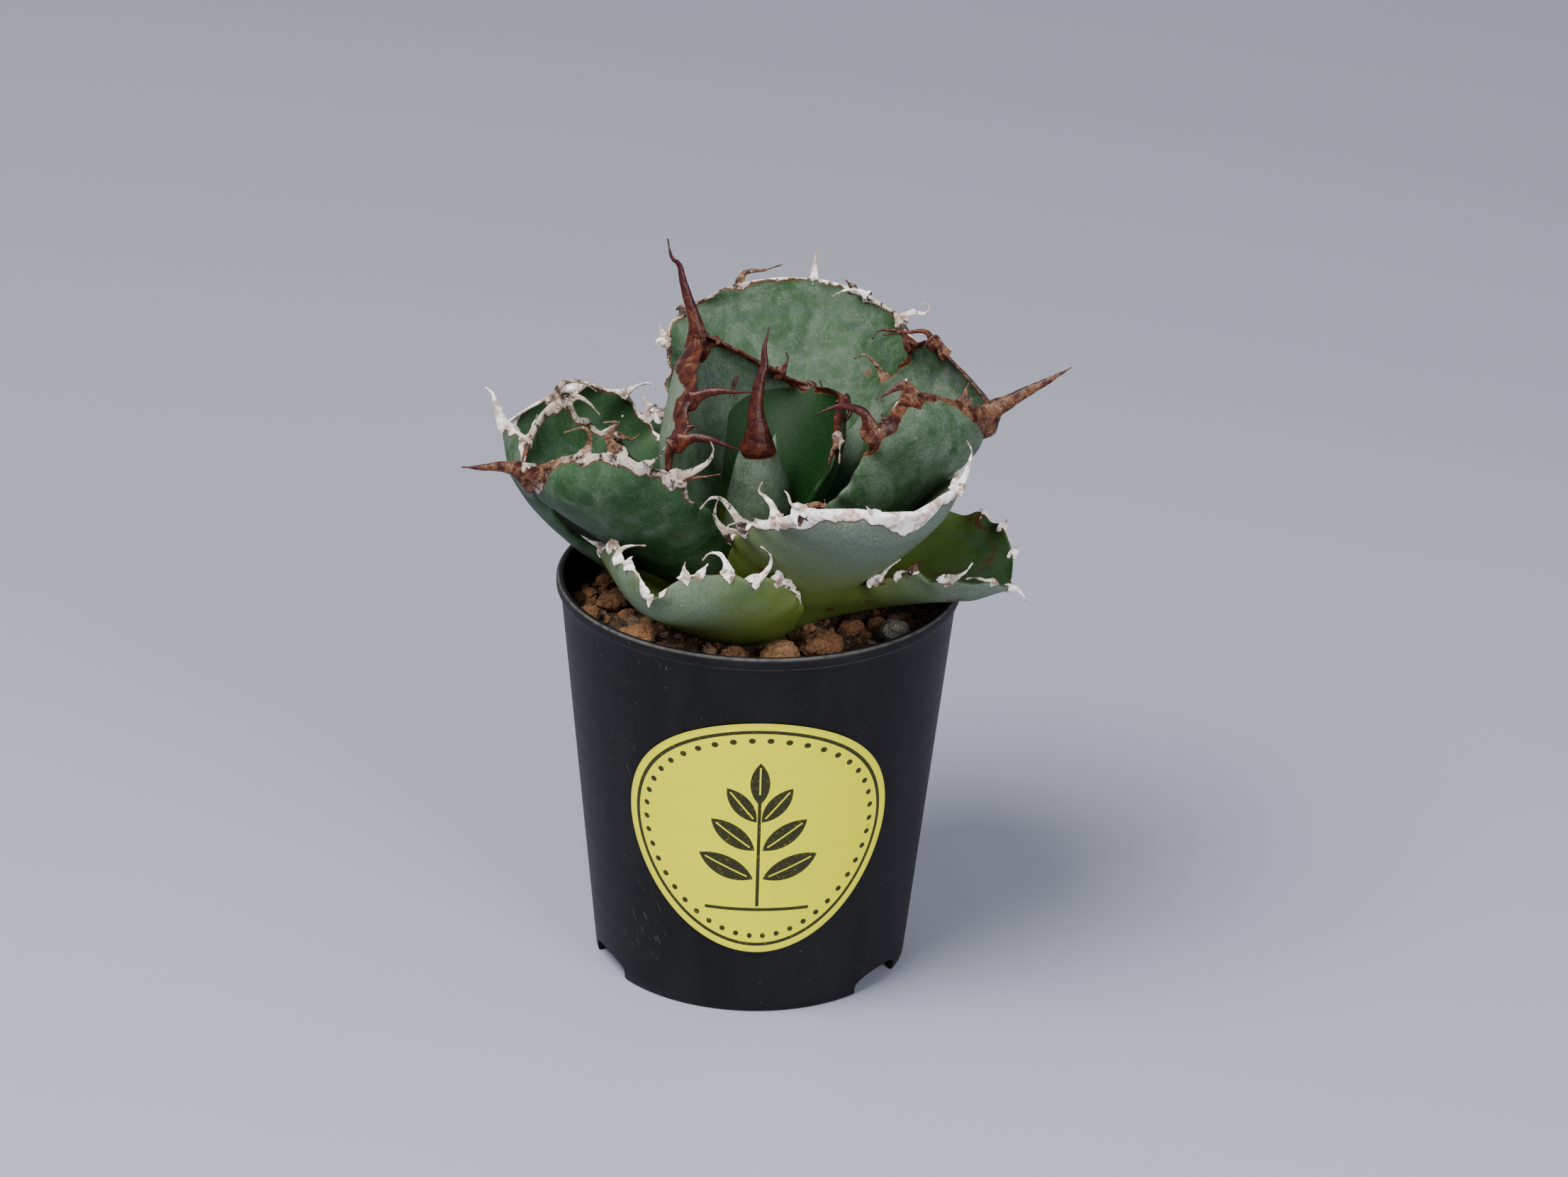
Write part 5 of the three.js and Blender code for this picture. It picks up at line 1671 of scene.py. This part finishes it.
def leaf_mesh(leaf, order):
    blade = Blade(leaf, order)
    teeth = leaf["teeth"] + small_teeth(blade)
    points, faces, facts, rim = decorated_blade(blade, teeth)
    horn_points, horn_faces, reach, age = horn_solid(blade, teeth)
    both = merged([(points, faces), (horn_points, horn_faces)])
    mesh = new_mesh("agave_leaf_" + leaf["name"], *both)
    skin, horns = len(points), len(horn_points)
    edge_age = np.where(facts["across"] > 0, *leaf["age"])
    skin_age = mix(edge_age, leaf["spine"][2], smooth(facts["span"], 0.93, 1.0))
    wax = np.where(facts["outer"] > 0.5, *leaf["wax"])
    oldness = order / (len(LEAVES) - 1)
    values = {
        "span": (facts["span"], 1),
        "across": (facts["across"], 0),
        "outer": (facts["outer"], 1),
        "rim": (rim, 2),
        "reach": (0, reach),
        "age": (skin_age, age),
        "wax": (wax, 0),
        "sun": (leaf["sun"], 0),
        "tint": (oldness, oldness),
        "blemish": (smooth(oldness, 0.3, 0.6), 0),
        "decay": (smooth(oldness, 0.93, 1.0), 0),
    }
    for name, (on_skin, on_horn) in values.items():
        whole = [np.broadcast_to(on_skin, skin), np.broadcast_to(on_horn, horns)]
        set_attribute(mesh, name, np.concatenate(whole))
    return mesh


class AGAVE_OT_leaves(bpy.types.Operator):
    """Grow the twelve leaves of the rosette with their spines and teeth"""

    bl_idname = "agave.leaves"
    bl_label = "Leaves"

    def execute(self, context):
        skin = new_material(leaf_blade)
        for order, leaf in enumerate(LEAVES):
            mesh = leaf_mesh(leaf, order)
            new_piece(mesh.name, mesh, skin, ["leaf_" + leaf["name"]])
        return {"FINISHED"}


def smooth_profile(profile):
    """The profile with more points, its corners rounded."""
    radii, heights = (np.array(values, float) for values in zip(*profile))
    for _ in range(3):
        ahead = mix(radii[:-1], radii[1:], 0.75), mix(heights[:-1], heights[1:], 0.75)
        behind = mix(radii[:-1], radii[1:], 0.25), mix(heights[:-1], heights[1:], 0.25)
        inner = [np.stack([b, a], -1).ravel() for b, a in zip(behind, ahead)]
        radii = np.concatenate([radii[:1], inner[0], radii[-1:]])
        heights = np.concatenate([heights[:1], inner[1], heights[-1:]])
    return list(zip(radii, heights))


def grown_round(profile, sides):
    """Points and faces of a solid turned from a profile that starts and ends on the axis."""
    rounded = smooth_profile(profile)
    return revolved([(max(radius, PINHOLE), height) for radius, height in rounded], sides)


def stem_mesh():
    points, faces = grown_round(STEM_PROFILE, STEM_SIDES)
    outwards = unit(points * [1, 1, 0] + 1e-9)
    lumps = rough_values(points, 2.5, 1) * 0.25
    return new_mesh("stem_core", points + outwards * lumps[:, None], faces)


def bud_mesh():
    """A furled bud: folds wind up it, and it leans."""
    points, faces = grown_round(BUD_PROFILE, BUD_SIDES)
    share = (points[:, 2] - BUD_PROFILE[0][1]) / (BUD_PROFILE[-1][1] - BUD_PROFILE[0][1])
    turn = np.arctan2(points[:, 1], points[:, 0]) + share * 2.4
    fold = 1 + 0.16 * np.abs(np.sin(turn * 1.5)) ** 3
    points[:, :2] *= fold[:, None]
    points += heading(BUD_LEAN[1]) * (BUD_LEAN[0] * share)[:, None]
    return new_mesh("bud_core", points, faces)


class AGAVE_OT_heart(bpy.types.Operator):
    """Build the stem and the furled bud that the leaves grow from"""

    bl_idname = "agave.heart"
    bl_label = "Stem and Bud"

    def execute(self, context):
        new_piece("stem_core", stem_mesh(), new_material(stem_tissue), ["stem"])
        skin = bpy.data.materials["leaf_blade"]  # the frame's own leaf material
        new_piece("bud_core", bud_mesh(), skin, ["heart_bud"])
        return {"FINISHED"}


# ---- stage -------------------------------------------------------------------------------


class AGAVE_PG_stage(bpy.types.PropertyGroup):
    floor: colour_setting("Floor colour", "Colour of the plain pale floor", (0.285, 0.292, 0.372))
    key: bpy.props.FloatProperty(
        name="Key light",
        description="Power of the large soft light above",
        subtype="POWER",
        default=43,
        min=0,
    )
    sky: bpy.props.FloatProperty(
        name="Ambient light",
        description="Strength of the even light from all around",
        default=0.5,
        min=0,
    )
    lens: bpy.props.FloatProperty(
        name="Focal length",
        description="Focal length of the camera",
        unit="CAMERA",
        default=131.4,
        min=1,
    )
    elevation: bpy.props.FloatProperty(
        name="Camera elevation",
        description="How far the camera stands above the level of the pot's middle",
        subtype="ANGLE",
        default=math.radians(25.96),
    )
    distance: bpy.props.FloatProperty(
        name="Camera distance",
        description="From the pot's middle to the camera",
        unit="LENGTH",
        default=1.075,
        min=0.1,
    )


def camera_matrix(look):
    """The camera aimed near the pot's middle, then turned a little so as to frame the plant."""
    target = np.array([0, 0, CAMERA_AIM])
    back = np.array([0, -math.cos(look.elevation), math.sin(look.elevation)])
    ahead, right = -back, np.array([1.0, 0, 0])
    up = np.cross(right, ahead)

    def turned(first, second, degrees):
        c, s = math.cos(math.radians(degrees)), math.sin(math.radians(degrees))
        return first * c + second * s, second * c - first * s

    ahead, right = turned(ahead, right, CAMERA_TURNS[0])
    ahead, up = turned(ahead, up, CAMERA_TURNS[1])
    right, up = turned(right, up, CAMERA_TURNS[2])
    made = Matrix.Identity(4)
    for column, way in enumerate((right, up, -ahead, target + back * look.distance)):
        for row in range(3):
            made[row][column] = way[row]
    return made


def area_light(name, place, aim, size, power, colour):
    data = bpy.data.lights.new(name, "AREA")
    data.shape = "DISK"
    data.size = size
    data.energy = power
    data.color = colour
    made = linked(name, data)
    made.location = place
    made.rotation_euler = (Vector(aim) - Vector(place)).to_track_quat("-Z", "Y").to_euler()


class AGAVE_OT_stage(bpy.types.Operator):
    """Set up the plain floor, the soft lights and the camera"""

    bl_idname = "agave.stage"
    bl_label = "Stage"

    def execute(self, context):
        look = context.scene.agave_stage
        half = FLOOR_HALF
        corners = [(-half, -half, 0), (half, -half, 0), (half, half, 0), (-half, half, 0)]
        mesh = bpy.data.meshes.new("floor")
        mesh.from_pydata(corners, [], [(0, 1, 2, 3)])
        mesh.materials.append(new_material(floor_board))
        floor = linked("floor", mesh)
        world = bpy.data.worlds.new("studio")
        world.use_nodes = True
        sky = world.node_tree.nodes["Background"]
        sky.inputs["Color"].default_value = paint(0.86, 0.92, 1.0)
        sky.inputs["Strength"].default_value = look.sky
        context.scene.world = world
        for name, (place, aim, size, share, colour) in LIGHTS.items():
            area_light(name, place, aim, size, look.key * share, colour)
        data = bpy.data.cameras.new("camera")
        data.lens = look.lens
        data.sensor_width = CAMERA_SENSOR
        data.clip_start = 0.05
        data.clip_end = 20
        camera = linked("camera", data)
        camera.matrix_world = camera_matrix(look)
        context.scene.camera = camera
        return {"FINISHED"}


# ---- add-on ------------------------------------------------------------------------------


class AGAVE_PT_panel(bpy.types.Panel):
    """Lists the pieces of the potted agave"""

    bl_idname = "AGAVE_PT_panel"
    bl_label = "Potted Agave"
    bl_space_type = "VIEW_3D"
    bl_region_type = "UI"
    bl_category = "Potted Agave"

    def draw(self, context):
        for operator, group in STEPS:
            self.layout.operator(operator.bl_idname)
            if group:
                settings = getattr(context.scene, group)
                for name in settings.__annotations__:
                    self.layout.prop(settings, name)


STEPS = [
    (AGAVE_OT_stage, "agave_stage"),
    (AGAVE_OT_pot, "agave_pot"),
    (AGAVE_OT_label, "agave_label"),
    (AGAVE_OT_soil, "agave_soil"),
    (AGAVE_OT_granules, None),
    (AGAVE_OT_leaves, "agave_leaves"),
    (AGAVE_OT_heart, None),
]
GROUPS = {
    "agave_stage": AGAVE_PG_stage,
    "agave_pot": AGAVE_PG_pot,
    "agave_label": AGAVE_PG_label,
    "agave_soil": AGAVE_PG_soil,
    "agave_leaves": AGAVE_PG_leaves,
}


def register():
    for name, group in GROUPS.items():
        bpy.utils.register_class(group)
        setattr(bpy.types.Scene, name, bpy.props.PointerProperty(type=group))
    for operator, _ in STEPS:
        bpy.utils.register_class(operator)
    bpy.utils.register_class(AGAVE_PT_panel)


def unregister():
    bpy.utils.unregister_class(AGAVE_PT_panel)
    for operator, _ in reversed(STEPS):
        bpy.utils.unregister_class(operator)
    for name, group in GROUPS.items():
        delattr(bpy.types.Scene, name)
        bpy.utils.unregister_class(group)


def main():
    register()
    bpy.ops.agave.stage()
    bpy.ops.agave.pot()
    bpy.ops.agave.label()
    bpy.ops.agave.soil()
    bpy.ops.agave.granules()
    bpy.ops.agave.leaves()
    bpy.ops.agave.heart()


if __name__ == "__main__":
    main()
